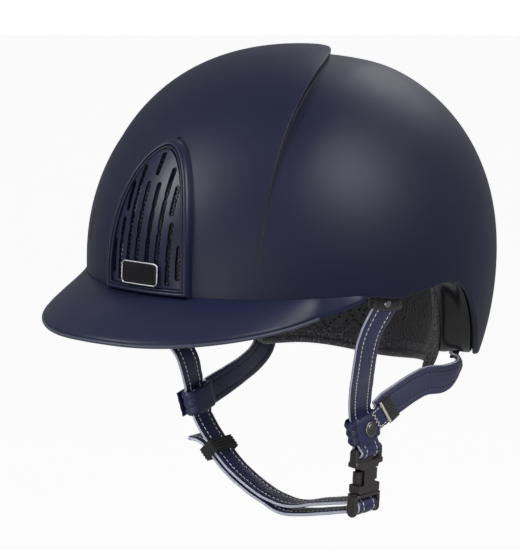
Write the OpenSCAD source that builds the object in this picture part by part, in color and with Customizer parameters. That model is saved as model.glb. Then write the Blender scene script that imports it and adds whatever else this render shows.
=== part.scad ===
// Equestrian riding helmet with a fixed peak, a slotted front vent and a leather harness.
// The front faces -Y, the wearer's left is +X and +Z is up. The origin is the centre of the
// head opening, level with the front rim. Millimetres and degrees.

/* [Shell] */
// Half of the shell's width
shell_half_w = 109; // [91:0.5:131]
// Half of the shell's length
shell_half_l = 129; // [107.5:0.5:155]
// Height of the crown above the dome's widest level
crown_h = 117.5; // [98:0.5:141]
// Height of the dome's widest level above the front rim
widest_z = 5; // [2:0.5:8]
// Depth to which the curve below the widest level would reach
under_depth = 147; // [122:1:176]
// Roundness of the dome, where 2 is an ellipse
dome_power = 2.14; // [2:0.02:2.5]
// Thickness of the shell's wall
shell_t = 3; // [2.4:0.1:3.6]
// How far the nape hangs below the front rim
nape_drop = 51.5; // [42:0.5:62]
// Angle from the front at which the rim starts to drop behind the ear
ear_angle = 94; // [88:1:100]
// Angle over which the rim drops to the nape
ear_run = 32; // [26:1:40]

/* [Crown ridge] */
// How far behind the centre the ridge crosses the crown
ridge_back = 20; // [10:1:30]
// How quickly the ridge sweeps forward towards the sides, per millimetre squared
ridge_sweep = 0.034; // [0.028:0.001:0.04]
// Height of the ridge above the dome
ridge_rise = 2.7; // [1:0.1:4]
// Depth of the dip behind the ridge
ridge_dip = 2.6; // [1:0.1:4]
// Height at which the ridge fades out
ridge_foot_z = 28; // [20:1:40]

/* [Peak] */
// How far the peak reaches beyond the shell
peak_reach = 44; // [36:0.5:53]
// How far the peak's edge drops
peak_drop = 17; // [14:0.5:21]
// Angle from the front at which the peak's edge meets the shell
peak_side_angle = 51.5; // [46:0.5:56]
// Angle from the front at which the peak's root ends
peak_end_angle = 62.5; // [58:0.5:66]
// Thickness of the peak
peak_t = 3; // [2.4:0.1:3.6]
// Thickness of the cloth under the peak
peak_lining_t = 1.2; // [0.8:0.1:1.6]
// Radius of the bead along the peak's edge
peak_bead_r = 1.1; // [0.8:0.1:1.5]

/* [Vent] */
// Half of the vent frame's width
vent_half_w = 29; // [24:0.5:35]
// Height of the vent frame
vent_h = 81; // [67:0.5:98]
// Width of the vent frame's border
vent_border = 4.6; // [3.8:0.2:5.6]
// How far the vent frame stands out of the shell
vent_proud = 5; // [4:0.25:6]
// Width of the vent's slots
slot_w = 3; // [2.4:0.1:3.6]
// Width of the badge
badge_w = 24; // [20:0.5:28]
// Height of the badge
badge_h = 11; // [9:0.5:13]

/* [Lining] */
// Thickness of the impact liner
impact_t = 17; // [14:0.1:20.5]
// Thickness of the comfort padding
pad_t = 5; // [4:0.25:6]
// How far the nape padding hangs below the nape of the shell
nape_pad_drop = 13; // [10:0.5:16]
// Thickness of the rim frame
rim_frame_t = 2.4; // [2:0.1:3]
// Gap between one layer and the next
layer_gap = 0.8; // [0.6:0.05:1]
// Gap for the hook-and-loop patches behind the padding
patch_gap = 1.8; // [1.6:0.1:2.2]

/* [Harness] */
// Width of the straps
strap_w = 17; // [14:0.1:20.5]
// Thickness of the straps
strap_t = 2.6; // [2.1:0.1:3.2]
// Angle from the front at which the front straps leave the rim
front_anchor_angle = 67; // [62:1:72]
// Angle from the front at which the rear straps leave the rim
rear_anchor_angle = 131; // [129:1:137]
// Wall thickness of the leather loops
loop_wall = 2; // [1.6:0.1:2.4]
// Height of the leather loops
loop_h = 14.5; // [12:0.5:16]
// Radius of the press stud's cap
stud_r = 4.6; // [3.8:0.1:5.5]
// Width of the rubber keeper along the strap
keeper_w = 8; // [6.5:0.5:9.5]

/* [Buckle] */
// Width of the buckle's body
buckle_w = 18; // [16:0.5:21]
// Thickness of the buckle's body
buckle_t = 8.4; // [7.4:0.2:10]
// Length of the buckle's body
buckle_l = 18.5; // [17:0.5:22.5]
// Wall thickness of the buckle's body
buckle_wall = 1.6; // [1.3:0.1:1.9]
// Running clearance inside the buckle
buckle_gap = 0.4; // [0.3:0.05:0.5]
// Radius of the buckle's strap bars
bar_r = 1.6; // [1.3:0.1:1.9]
// Lean of the buckle towards the chin
buckle_lean = 3.5; // [2.8:0.1:4.2]

/* [Hidden] */

navy = [0.11, 0.12, 0.25];
leather_navy = [0.17, 0.19, 0.36];
black = [0.06, 0.06, 0.07];
grey_cloth = [0.22, 0.22, 0.24];
steel = [0.35, 0.35, 0.38];

top_rows = 14;
skirt_rows = 4;
front_columns = 14;
rear_columns = 30;
skirt_start = 81;
lip_gap = 0.4;
ridge_run_front = 60;
ridge_run_rear = 42;
arch_side = 1.8;
arch_top = 2.5;
vent_foot_z = 1.4;
sill_h = 4;

impact_inset = shell_t + layer_gap;
impact_inner = impact_inset + impact_t;
pad_inset = impact_inner + patch_gap;
pad_inner = pad_inset + pad_t;

// Where the loops and the buckle hang; these follow the wearer's jaw, not the shell
loop_pos_left = [61, -15, -85.5];
loop_turn_left = [12, -6, -4];
tab_turn_left = [18, 0, -10];
loop_pos_right = [-60, -14, -85.5];
loop_turn_right = [10, -10, 3];
tab_turn_right = [-3, 0, 8];
buckle_pos = [62, -12.3, -98.5];
bar_wrap_r = bar_r + strap_t / 2 + 0.25;
body_top = -5.4;
body_end = body_top - buckle_l;
tongue_top = body_end - 0.4;
tongue_bar_z = tongue_top - 3.5 - bar_wrap_r - strap_t / 2;

// ---- Helpers -------------------------------------------------------------------------

function smooth(x) = let (c = min(1, max(0, x))) c * c * (3 - 2 * c);
function hump(x) = pow(max(0, 1 - x * x), 2);
function unit(v) = v / max(1e-9, norm(v));
function flat(lists) = [for (l = lists) each l];
function sign1(x) = x < 0 ? -1 : 1;

// A smooth curve through points, closed-form between each pair
function spline_at(p, i, u) =
    let (
        n = len(p) - 1,
        a = p[max(0, i - 1)],
        b = p[i],
        c = p[min(n, i + 1)],
        d = p[min(n, i + 2)]
    )
    0.5 * (2 * b + (c - a) * u + (2 * a - 5 * b + 4 * c - d) * u * u
        + (3 * b - 3 * c + d - a) * u * u * u);
function spline(p, steps) = [
    for (i = [0 : len(p) - 2], s = [0 : steps - 1]) spline_at(p, i, s / steps),
    p[len(p) - 1]
];

// Two triangles for each cell between two rows of n points that start at a and b
function strip(a, b, n, wrap) = flat([
    for (j = [0 : n - (wrap ? 1 : 2)])
        let (k = (j + 1) % n)
        [[a + j, b + j, b + k], [a + j, b + k, a + k]]
]);

// A closed solid between two grids of points, rows by columns. Columns may wrap round.
module slab(top, bottom, wrap = false) {
    rows = len(top);
    n = len(top[0]);
    low = rows * n;
    function back(faces) = [for (f = faces) [f[0], f[2], f[1]]];
    skin = flat([for (i = [0 : rows - 2]) strip(i * n, (i + 1) * n, n, wrap)]);
    under = back([for (f = skin) f + [low, low, low]]);
    first = strip(low, 0, n, wrap);
    last = strip((rows - 1) * n, low + (rows - 1) * n, n, wrap);
    sides = wrap ? [] : flat([
        for (i = [0 : rows - 2])
            let (a = i * n, b = (i + 1) * n, e = n - 1)
            [
                [a, low + b, b], [a, low + a, low + b],
                [a + e, b + e, low + b + e], [a + e, low + b + e, low + a + e]
            ]
    ]);
    polyhedron(concat(flat(top), flat(bottom)), concat(skin, under, first, last, sides));
}

// A closed dome between two grids whose first rows meet at poles
module cap(top_pole, top, bottom_pole, bottom) {
    rows = len(top);
    n = len(top[0]);
    low = rows * n;
    skin = flat([for (i = [0 : rows - 2]) strip(i * n, (i + 1) * n, n, true)]);
    under = [for (f = skin) [f[0] + low, f[2] + low, f[1] + low]];
    last = strip((rows - 1) * n, low + (rows - 1) * n, n, true);
    fan = [for (j = [0 : n - 1]) [2 * low, j, (j + 1) % n]];
    fan_under = [for (j = [0 : n - 1]) [2 * low + 1, low + (j + 1) % n, low + j]];
    polyhedron(
        concat(flat(top), flat(bottom), [top_pole, bottom_pole]),
        concat(skin, under, last, fan, fan_under)
    );
}

// A closed solid through a row of rings of the same number of points
module swept(rings) {
    n = len(rings[0]);
    last = (len(rings) - 1) * n;
    skin = flat([for (i = [0 : len(rings) - 2]) strip(i * n, (i + 1) * n, n, true)]);
    ends = [[for (j = [0 : n - 1]) j], [for (j = [n - 1 : -1 : 0]) last + j]];
    polyhedron(flat(rings), concat(skin, ends));
}

// A closed ring through rings of points, the last joined to the first
module looped(rings) {
    n = len(rings[0]);
    m = len(rings);
    polyhedron(flat(rings), flat([for (i = [0 : m - 1]) strip(i * n, (i + 1) % m * n, n, true)]));
}

// The freeform pieces are one smooth skin, so their cuts are made on that skin
module one_skin() {
    resize([0, 0, 0]) children();
}

// ---- The dome ------------------------------------------------------------------------

// A point of the dome, set in by inset: phi runs round from the front, t down from the crown
function dome_k(t) = t <= 90 ? pow(max(0, sin(t)), 2 / dome_power) : cos(t - 90);
function dome_point(phi, t, inset, crown_inset) =
    let (
        k = dome_k(t),
        rise = t <= 90
            ? (crown_h - crown_inset) * pow(max(0, cos(t)), 2 / dome_power)
            : -(under_depth - inset) * sin(t - 90)
    )
    [
        (shell_half_w - inset) * k * sin(phi),
        -(shell_half_l - inset) * k * cos(phi),
        widest_z + rise
    ];
function dome_normal(p) = unit([
    p[0] / pow(shell_half_w, 2),
    p[1] / pow(shell_half_l, 2),
    (p[2] - widest_z) / pow(p[2] < widest_z ? under_depth : crown_h, 2)
]);
// Angle down from the crown of a height on a layer
function t_of_z(z, inset, crown_inset) =
    z <= widest_z
        ? 90 + asin((widest_z - z) / (under_depth - inset))
        : acos(pow((z - widest_z) / (crown_h - crown_inset), dome_power / 2));
function layer(phi, z, inset) =
    dome_point(phi, t_of_z(z, inset, inset + ridge_dip), inset, inset + ridge_dip);
// The dome's front at a place seen from the front, standing out by proud
function front_point(x, z, proud) =
    let (
        rise = (z - widest_z) / (z < widest_z ? under_depth + proud : crown_h + proud),
        k = z < widest_z
            ? sqrt(1 - rise * rise)
            : pow(max(0, 1 - pow(rise, dome_power)), 1 / dome_power),
        side = x / (shell_half_w + proud)
    )
    [x, -(shell_half_l + proud) * sqrt(max(0, k * k - side * side)), z];

// Height of the rim at phi: level at the front, a low arch over the ear, down to the nape
function plan_angle(phi) = abs(atan2(shell_half_w * sin(phi), shell_half_l * cos(phi)));
function phi_of(angle) = atan2(shell_half_l * sin(angle), shell_half_w * cos(angle));
function rim_z(phi) =
    let (a = plan_angle(phi))
    -nape_drop * smooth((a - ear_angle) / ear_run)
        - 2.5 * hump((a - 70) / 9) + 1.7 * hump((a - 88) / 8);

// ---- Shell ---------------------------------------------------------------------------

// Half of the angle that the panel in front of the ridge takes up, where the dome's scale is k
function lip_angle(k) =
    let (
        q = ridge_sweep * pow(shell_half_w * k, 2),
        b = shell_half_l * k,
        root = b * b - 4 * q * (ridge_back - q),
        c = root < 0 ? -1 : (sqrt(root) - b) / (2 * q)
    )
    k * shell_half_l <= ridge_back ? 176 : min(176, acos(max(-1, min(1, c))));
function ridge_offset(p, in_front) =
    let (
        s = ridge_back - ridge_sweep * p[0] * p[0] - p[1],
        fade = smooth((p[2] - ridge_foot_z) / (widest_z + crown_h - ridge_foot_z))
    )
    fade * (in_front
        ? ridge_rise * exp(-pow(s / ridge_run_front, 2))
        : -ridge_dip * exp(-pow(s / ridge_run_rear, 2)));
function shell_columns(k) = let (lip = lip_angle(k)) concat(
    [for (j = [0 : front_columns]) [lip * (2 * j / front_columns - 1), true]],
    [
        for (j = [0 : rear_columns])
            [lip + lip_gap + (360 - 2 * lip - 2 * lip_gap) * j / rear_columns,
                k * shell_half_l <= ridge_back]
    ]
);
function shell_t_at(i, phi, inset, crown_inset) =
    i <= top_rows
        ? skirt_start * pow(i / top_rows, 1.25)
        : skirt_start + (t_of_z(rim_z(phi), inset, crown_inset) - skirt_start)
            * (i - top_rows) / skirt_rows;
function shell_row(i, outer) =
    let (
        inset = outer ? 0 : shell_t,
        crown_inset = outer ? 0 : shell_t + ridge_dip,
        k = dome_k(i <= top_rows ? shell_t_at(i, 0, 0, 0) : 90)
    )
    [
        for (c = shell_columns(k))
            let (p = dome_point(c[0], shell_t_at(i, c[0], inset, crown_inset), inset, crown_inset))
            outer ? p + dome_normal(p) * ridge_offset(p, c[1]) : p
    ];

module arch_prism(half_w, h, foot) {
    rotate([90, 0, 0]) linear_extrude(height = 2 * shell_half_l)
        polygon([
            for (i = [0 : 40])
                let (q = 180 * i / 40)
                [half_w * sign1(cos(q)) * pow(abs(cos(q)), 2 / arch_side),
                    foot + h * pow(max(0, sin(q)), 2 / arch_top)]
        ]);
}

module outer_shell() {
    outer = [for (i = [1 : top_rows + skirt_rows]) shell_row(i, true)];
    inner = [for (i = [1 : top_rows + skirt_rows]) shell_row(i, false)];
    pole = [0, 0, widest_z + crown_h];
    color(navy) one_skin() difference() {
        cap(
            pole + [0, 0, ridge_offset(pole, true)], outer,
            pole - [0, 0, shell_t + ridge_dip], inner
        );
        arch_prism(vent_half_w + 0.6, vent_h + 0.9, vent_foot_z - 0.6);
    }
}

// ---- Peak ----------------------------------------------------------------------------

peak_columns = 40;
peak_rows = 5;
peak_root_z = 1;
peak_camber = 3;
peak_min_reach = 1.6;

function peak_out(phi) =
    abs(phi) >= peak_side_angle
        ? peak_min_reach
        : max(peak_min_reach, peak_reach * cos(90 * phi / peak_side_angle));
function peak_edge_z(phi) =
    let (f = min(1, abs(phi) / peak_end_angle))
    1.6 * f - (peak_drop + 0.9) * pow(max(0, cos(90 * f)), 0.65) + 1.5 * exp(-pow(phi / 10, 2));
// A point of the peak's top: v runs from the root to the edge
function peak_point(phi, v, down) =
    let (
        root = 0.3,
        reach = peak_out(phi),
        out = root + (reach - root) * v,
        z = peak_root_z + (peak_edge_z(phi) - peak_root_z) * v
            + peak_camber * 4 * v * (1 - v) * reach / peak_reach
    )
    [(shell_half_w + out) * sin(phi), -(shell_half_l + out) * cos(phi), z - down];
function peak_grid(v0, v1, down, end) = [
    for (i = [0 : peak_rows])
        [
            for (j = [0 : peak_columns])
                peak_point(end * (2 * j / peak_columns - 1), v0 + (v1 - v0) * i / peak_rows, down)
        ]
];

module peak() {
    color(navy)
        slab(peak_grid(0, 1, 0, peak_end_angle), peak_grid(0, 1, peak_t, peak_end_angle));
}

module peak_lining() {
    down = peak_t + 0.3;
    end = peak_side_angle - 6;
    color(black)
        slab(peak_grid(0.12, 0.93, down, end), peak_grid(0.12, 0.93, down + peak_lining_t, end));
}

module peak_edge_bead() {
    end = peak_side_angle - 2;
    steps = 48;
    color(navy) swept([
        for (i = [0 : steps])
            let (
                phi = end * (2 * i / steps - 1),
                c = peak_point(phi, 1, peak_t / 2),
                out = unit([c[0], c[1], 0]),
                mid = c + out * (peak_bead_r + 0.4)
            )
            [
                for (j = [7 : -1 : 0])
                    mid + out * peak_bead_r * cos(45 * j) + [0, 0, peak_bead_r * sin(45 * j)]
            ]
    ]);
}

// ---- Front vent ----------------------------------------------------------------------

function arch_half(z, half_w, h) =
    half_w * pow(max(0, 1 - pow(max(0, z - vent_foot_z) / h, arch_top)), 1 / arch_side);
function arch_at(q, half_w, h) = [
    half_w * sign1(cos(q)) * pow(abs(cos(q)), 2 / arch_side),
    vent_foot_z + h * pow(max(0, sin(q)), 2 / arch_top)
];

// The frame's outline runs up and over the arch and back along the sill
function frame_pair(q, inner_w, inner_h) =
    let (a = arch_at(q, vent_half_w, vent_h), b = arch_at(q, inner_w, inner_h))
    [a, [b[0], max(b[1], vent_foot_z + sill_h)]];

module vent_frame() {
    steps = 40;
    sill_steps = 12;
    inner_w = vent_half_w - vent_border;
    inner_h = vent_h - vent_border;
    section = [
        [0, -shell_t - 0.6], [0, vent_proud - 1.4], [0.12, vent_proud - 0.4], [0.32, vent_proud],
        [0.62, vent_proud], [0.84, vent_proud - 0.6], [1, vent_proud - 1.8], [1, -shell_t - 0.6]
    ];
    arch = [for (i = [0 : steps]) frame_pair(180 * i / steps, inner_w, inner_h)];
    sill = [
        for (i = [1 : sill_steps - 1])
            let (f = 2 * i / sill_steps - 1)
            [[vent_half_w * f, vent_foot_z], [inner_w * f, vent_foot_z + sill_h]]
    ];
    color(navy) looped([
        for (pair = concat(arch, sill))
            [
                for (s = section)
                    let (p = pair[0] + (pair[1] - pair[0]) * s[0])
                    front_point(p[0], p[1], s[1])
            ]
    ]);
}

// A curved plate that fills the frame, from low to high proud, with a bulge in the middle
module vent_plate(low, high, bulge, margin) {
    rows = 12;
    columns = 10;
    half_w = vent_half_w - vent_border - margin;
    h = vent_h - vent_border - margin;
    z0 = vent_foot_z + sill_h + margin;
    z1 = vent_foot_z + h * 0.992;
    function plate(proud) = [
        for (i = [0 : rows])
            let (z = z0 + (z1 - z0) * sin(90 * i / rows), half = arch_half(z, half_w, h))
            [
                for (j = [0 : columns])
                    let (f = 1 - 2 * j / columns)
                    front_point(half * f, z, proud + bulge * (1 - pow(half * f / half_w, 2)))
            ]
    ];
    slab(plate(high), plate(low));
}

// Each column of slots: distance from the middle, lowest and highest point
slots = [
    [3.6, 18, 61], [10, 18, 69], [15.4, 44, 60], [16.8, 7, 41], [22.4, 10, 29]
];
top_slot = [0, 64, 76];

module slot_cut(x, low, high) {
    rotate([90, 0, 0]) linear_extrude(height = 2 * shell_half_l) hull() {
        translate([x, low + slot_w / 2]) circle(d = slot_w, $fn = 16);
        translate([x, high - slot_w / 2]) circle(d = slot_w, $fn = 16);
    }
}

module vent_grille() {
    color(navy) one_skin() difference() {
        vent_plate(0.4, 2.6, 1.8, 0.25);
        for (s = slots, side = [-1, 1]) slot_cut(side * s[0], s[1], s[2]);
        slot_cut(top_slot[0], top_slot[1], top_slot[2]);
    }
}

module vent_mesh() {
    color(black) vent_plate(-2.4, -1.4, 1.2, 0.5);
}

badge_z = 12.5;
function badge_face(w, h, proud) = [
    for (z = [badge_z - h / 2, badge_z, badge_z + h / 2])
        [for (j = [0 : 8]) front_point(w / 2 * (1 - j / 4), z, proud)]
];
module badge_plate() {
    color(black) slab(badge_face(badge_w, badge_h, 6.4), badge_face(badge_w, badge_h, 4.8));
}
module badge_rim() {
    rim = 0.9;
    color(steel) one_skin() difference() {
        slab(badge_face(badge_w + 2 * rim, badge_h + 2 * rim, 6.9),
            badge_face(badge_w + 2 * rim, badge_h + 2 * rim, 5));
        translate([0, -shell_half_l, badge_z])
            cube([badge_w + 0.2, 60, badge_h + 0.2], center = true);
    }
}

module vent_screws() {
    side = vent_half_w - vent_border / 2 - 2;
    top = vent_foot_z + vent_h - vent_border / 2;
    color(steel)
        for (s = [[-side, 36], [side, 36], [0, top]])
            translate(front_point(s[0], s[1], -shell_t - 0.7)) rotate([90, 0, 0]) {
                translate([0, 0, -1.2]) cylinder(r = 1.9, h = 1.2, $fn = 24);
                cylinder(r = 0.9, h = 4.5, $fn = 24);
            }
}

// ---- Inner layers --------------------------------------------------------------------

layer_columns = 60;

// A domed layer with its rim above the shell's rim
module domed_layer(inset, t, rim_lift) {
    rows = 10;
    function grid(d) = [
        for (i = [1 : rows])
            [
                for (j = [0 : layer_columns - 1])
                    let (
                        phi = 360 * j / layer_columns,
                        end = t_of_z(rim_z(phi) + rim_lift, d, d + ridge_dip)
                    )
                    dome_point(phi, end * i / rows, d, d + ridge_dip)
            ]
    ];
    cap(
        [0, 0, widest_z + crown_h - inset - ridge_dip], grid(inset),
        [0, 0, widest_z + crown_h - inset - t - ridge_dip], grid(inset + t)
    );
}

module impact_liner() {
    color(black) one_skin() difference() {
        domed_layer(impact_inset, impact_t, rim_frame_t + 0.8);
        arch_prism(vent_half_w + 1, vent_h + 3, vent_foot_z + 1);
    }
}

// The rim frame closes the gap between the shell and the padding all the way round
module rim_frame() {
    insets = [impact_inset + 0.3, (impact_inset + impact_inner) / 2, impact_inner + 0.6];
    function ring(d, down) = [
        for (j = [0 : layer_columns - 1])
            let (phi = 360 * j / layer_columns)
            layer(phi, rim_z(phi) + rim_frame_t + 0.2 - down, d)
    ];
    color(black)
        slab([for (d = insets) ring(d, 0)], [for (d = insets) ring(d, rim_frame_t)], true);
}

// The padding's lower edge: just above the rim at the front, below it at the nape
function pad_edge_z(phi) =
    let (a = plan_angle(phi))
    3 - (nape_drop + nape_pad_drop - 2) * smooth((a - ear_angle - 5) / (ear_run - 3))
        - 5 * smooth((a - 140) / 40);
function pad_top_z(phi) = 44 - 6 * smooth((plan_angle(phi) - 60) / 60);
pad_split = 101;

module padding(phi0, phi1, columns, inset, t) {
    rows = 6;
    function grid(d, round) = [
        for (i = [0 : rows])
            [
                for (j = [0 : columns])
                    let (
                        phi = phi0 + (phi1 - phi0) * j / columns,
                        low = pad_edge_z(phi) + round,
                        high = pad_top_z(phi) - round
                    )
                    layer(phi, high + (low - high) * i / rows, d)
            ]
    ];
    slab(grid(inset, 0), grid(inset + t, 1));
}

module head_band() {
    split = phi_of(pad_split);
    color(grey_cloth) padding(-split, split, 30, pad_inset, pad_t);
}

module nape_pad() {
    split = phi_of(pad_split) + 0.8;
    color(grey_cloth) padding(split, 360 - split, 30, pad_inset, pad_t);
}

module crown_pad() {
    rows = 5;
    columns = 30;
    spread = 40;
    function grid(d) = [
        for (i = [1 : rows])
            [for (j = [0 : columns - 1])
                dome_point(360 * j / columns, spread * i / rows, d, d + ridge_dip)]
    ];
    top = widest_z + crown_h - ridge_dip;
    color(black) cap(
        [0, 0, top - pad_inset], grid(pad_inset), [0, 0, top - pad_inner], grid(pad_inner)
    );
}

module nape_piping() {
    steps = 40;
    r = 1.5;
    split = phi_of(pad_split) + 3;
    color(grey_cloth) swept([
        for (i = [0 : steps])
            let (
                phi = split + (360 - 2 * split) * i / steps,
                c = layer(phi, pad_edge_z(phi) - r - 0.9, pad_inset + pad_t / 2),
                out = unit([c[0], c[1], 0])
            )
            [for (j = [0 : 7]) c + out * r * cos(45 * j) + [0, 0, r * sin(45 * j)]]
    ]);
}

module hook_and_loop_patches() {
    r = 6;
    t = 0.5;
    crown = widest_z + crown_h - ridge_dip - impact_inner;
    color(black) {
        for (a = [40, 84, 125, 160, 200, 235, 276, 320]) {
            phi = phi_of(a) + (a > 180 ? 360 : 0);
            p = layer(phi, 24, pad_inset - t / 2 - 0.2);
            n = dome_normal(p);
            translate(p) rotate([0, acos(n[2]), atan2(n[1], n[0])])
                translate([0, 0, -t / 2]) cylinder(r = r, h = t, $fn = 32);
        }
        translate([0, 0, crown - patch_gap + 0.2]) cylinder(r = r, h = patch_gap - 0.7, $fn = 32);
    }
}

// ---- Harness -------------------------------------------------------------------------

// Points on a lane through a loop: side picks the face and z runs along the loop
function turned(v, a) =
    let (
        x = v[0], y = v[1] * cos(a[0]) - v[2] * sin(a[0]), z = v[1] * sin(a[0]) + v[2] * cos(a[0]),
        u = x * cos(a[1]) + z * sin(a[1]), w = z * cos(a[1]) - x * sin(a[1])
    )
    [u * cos(a[2]) - y * sin(a[2]), u * sin(a[2]) + y * cos(a[2]), w];
function loop_lane(pos, turn, side, zs) = [
    for (z = zs) [pos + turned([side * (strap_t / 2 + 0.15), 0, z], turn), turned([0, 1, 0], turn)]
];

// A flat strap along a route. Each stop is a point and the way its width lies.
strap_steps = 5;
function strap_rings(stops, w, t) =
    let (
        line = spline([for (s = stops) s[0]], strap_steps),
        turn = spline([for (s = stops) s[1]], strap_steps),
        n = len(line) - 1,
        e = t * 0.35
    )
    [
        for (i = [0 : n])
            let (
                d = unit(line[min(n, i + 1)] - line[max(0, i - 1)]),
                across = unit(turn[i] - d * (turn[i] * d)),
                up = cross(d, across)
            )
            [
                for (s = [
                    [w / 2 - e, t / 2], [w / 2, t / 2 - e], [w / 2, e - t / 2], [w / 2 - e, -t / 2],
                    [e - w / 2, -t / 2], [-w / 2, e - t / 2], [-w / 2, t / 2 - e], [e - w / 2, t / 2]
                ])
                    line[i] + across * s[0] + up * s[1]
            ]
    ];
module strap(stops, w = strap_w) {
    swept(strap_rings(stops, w, strap_t));
}

// Where a strap leaves the rim, below the rim frame
anchor_h = 9;
function rim_point(angle, side, d, down) =
    let (phi = phi_of(angle), p = layer(phi, rim_z(phi) - down, d))
    [side * p[0], p[1], p[2]];
front_anchor_inset = shell_t + 3.4;
rear_anchor_inset = impact_inner - 8;

// The buckle leans about its top bar
function buckle_point(x, y, z) = buckle_pos + [
    x * cos(buckle_lean) + z * sin(buckle_lean), y, z * cos(buckle_lean) - x * sin(buckle_lean)
];
function tongue_point(angle, y) =
    buckle_point(bar_wrap_r * cos(angle), y, tongue_bar_z + bar_wrap_r * sin(angle));

function front_stops_left() = concat(
    [[rim_point(front_anchor_angle, 1, front_anchor_inset, anchor_h - 3), [0.3, 0.95, 0]]],
    [[[88, -44, -25], [0.2, 1, 0]], [[79, -38, -46], [0.1, 1, 0]],
        [[67.5, -25.5, -65], [0.1, 1, 0.1]], [[62.2, -18.7, -75], [0.1, 1, 0.2]]],
    loop_lane(loop_pos_left, loop_turn_left, 1, [7, 0, -7]),
    [
        for (a = [15, -20, -55, -90, -125, -160, -195])
            [buckle_point(bar_wrap_r * cos(a), 0, bar_wrap_r * sin(a)), [0, 1, 0]]
    ],
    loop_lane(loop_pos_left, loop_turn_left, -1, [-6, 4])
);
function front_stops_right() = concat(
    [[rim_point(front_anchor_angle, -1, front_anchor_inset, anchor_h - 3), [-0.2, 0.95, 0]]],
    [[[-80, -40, -28], [-0.1, 1, 0]], [[-62, -26, -54], [0, 1, 0]],
        [[-61.3, -17.4, -73], [-0.05, 1, 0.2]]],
    loop_lane(loop_pos_right, loop_turn_right, -1, [7, 3, -1])
);

module front_strap_left() {
    color(leather_navy) strap(front_stops_left());
}
module front_strap_right() {
    color(leather_navy) strap(front_stops_right());
}

// Each rear strap starts under its loop's tab
function tab_lane(pos, turn, tab_turn, side) = [
    for (y = [13.4, 17.5, 22])
        [
            pos + turned(turned([side * (loop_in_t / 2 - strap_t / 2 - 0.7), y, 0], tab_turn), turn),
            turned(turned([0, 0, 1], tab_turn), turn)
        ]
];
rear_route_left = [[70, 29, -65.5], [73.5, 45, -65.5], [74.5, 55, -63], [73.5, 60.5, -58.5]];
rear_route_right = [[-65.5, 30, -77.5], [-68, 49, -72], [-71, 60, -66], [-72, 62, -60]];
rear_across_left = [[0, 0, 1], [0.1, -0.1, 1], [0.35, -0.5, 0.8], [0.5, -0.8, 0.3]];
rear_across_right = [[0, 0, 1], [-0.1, -0.1, 1], [-0.35, -0.5, 0.8], [-0.5, -0.8, 0.3]];
// The route was laid out on a shell of this half width and length, and moves out with the rim
laid_out_w = 109;
laid_out_l = 129;
function rim_reach(half_w, half_l) =
    1 / norm([sin(rear_anchor_angle) / half_w, cos(rear_anchor_angle) / half_l]);
rear_growth = rim_reach(shell_half_w, shell_half_l) / rim_reach(laid_out_w, laid_out_l);
function follow_rim(p) = [p[0] * rear_growth, p[1] * rear_growth, p[2]];
function rear_stops(start, route, across, side) = concat(
    start,
    [[route[0], across[0]]],
    [for (i = [1 : len(route) - 1]) [follow_rim(route[i]), across[i]]],
    [[rim_point(rear_anchor_angle, side, rear_anchor_inset, 3), [side * 0.6, -0.8, 0]]]
);

module rear_strap_left() {
    color(leather_navy) strap(rear_stops(
        tab_lane(loop_pos_left, loop_turn_left, tab_turn_left, 1),
        rear_route_left, rear_across_left, 1
    ));
}
module rear_strap_right() {
    color(leather_navy) strap(rear_stops(
        tab_lane(loop_pos_right, loop_turn_right, tab_turn_right, -1),
        rear_route_right, rear_across_right, -1
    ));
}

// The anchor tabs hang from the rim frame and take the ends of the straps
module anchor(angle, side, inset, half_angle, depth, t) {
    steps = 4;
    function row(d, down) = [
        for (j = [0 : steps])
            let (
                a = angle + half_angle * (2 * j / steps - 1),
                p = rim_point(a, 1, d, down)
            )
            p
    ];
    mirror([side < 0 ? 1 : 0, 0, 0])
        slab([row(inset, 0), row(inset, depth)], [row(inset + t, 0), row(inset + t, depth)]);
}
module front_anchor_left() {
    color(black) anchor(front_anchor_angle, 1, front_anchor_inset - 2.2, 5.6, anchor_h - 0.8, 4.4);
}
module front_anchor_right() {
    color(black) anchor(front_anchor_angle, -1, front_anchor_inset - 2.2, 5.6, anchor_h - 0.8, 4.4);
}
module rear_anchor_left() {
    color(black) anchor(rear_anchor_angle, 1, rear_anchor_inset - 2, 4, 4.4, 4);
}
module rear_anchor_right() {
    color(black) anchor(rear_anchor_angle, -1, rear_anchor_inset - 2, 4, 4.4, 4);
}

// A rivet through the outer face of each anchor tab
module anchor_rivets() {
    rivet_r = 2.2;
    rivet_down = 4;
    color(steel)
        for (side = [-1, 1]) {
            p = rim_point(front_anchor_angle, 1, front_anchor_inset - 2.2, rivet_down);
            n = unit([p[0] / pow(shell_half_w, 2), p[1] / pow(shell_half_l, 2), 0]);
            mirror([side < 0 ? 1 : 0, 0, 0])
                translate(p + n * 0.15) rotate([0, 90, atan2(n[1], n[0])])
                    cylinder(r1 = rivet_r, r2 = rivet_r - 0.5, h = 0.8, $fn = 24);
        }
}

// ---- Leather loops with their press studs --------------------------------------------

loop_in_w = strap_w + 2;
loop_in_t = 2 * strap_t + 1.2;
flap_t = 1.6;
flap_gap = 0.35;
flap_front = -(loop_in_w / 2 + loop_wall);

module stadium(w, t) {
    r = min(w, t) / 2;
    hull() {
        translate([0, r - w / 2]) circle(r = r, $fn = 32);
        translate([0, w / 2 - r]) circle(r = r, $fn = 32);
    }
}

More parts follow.
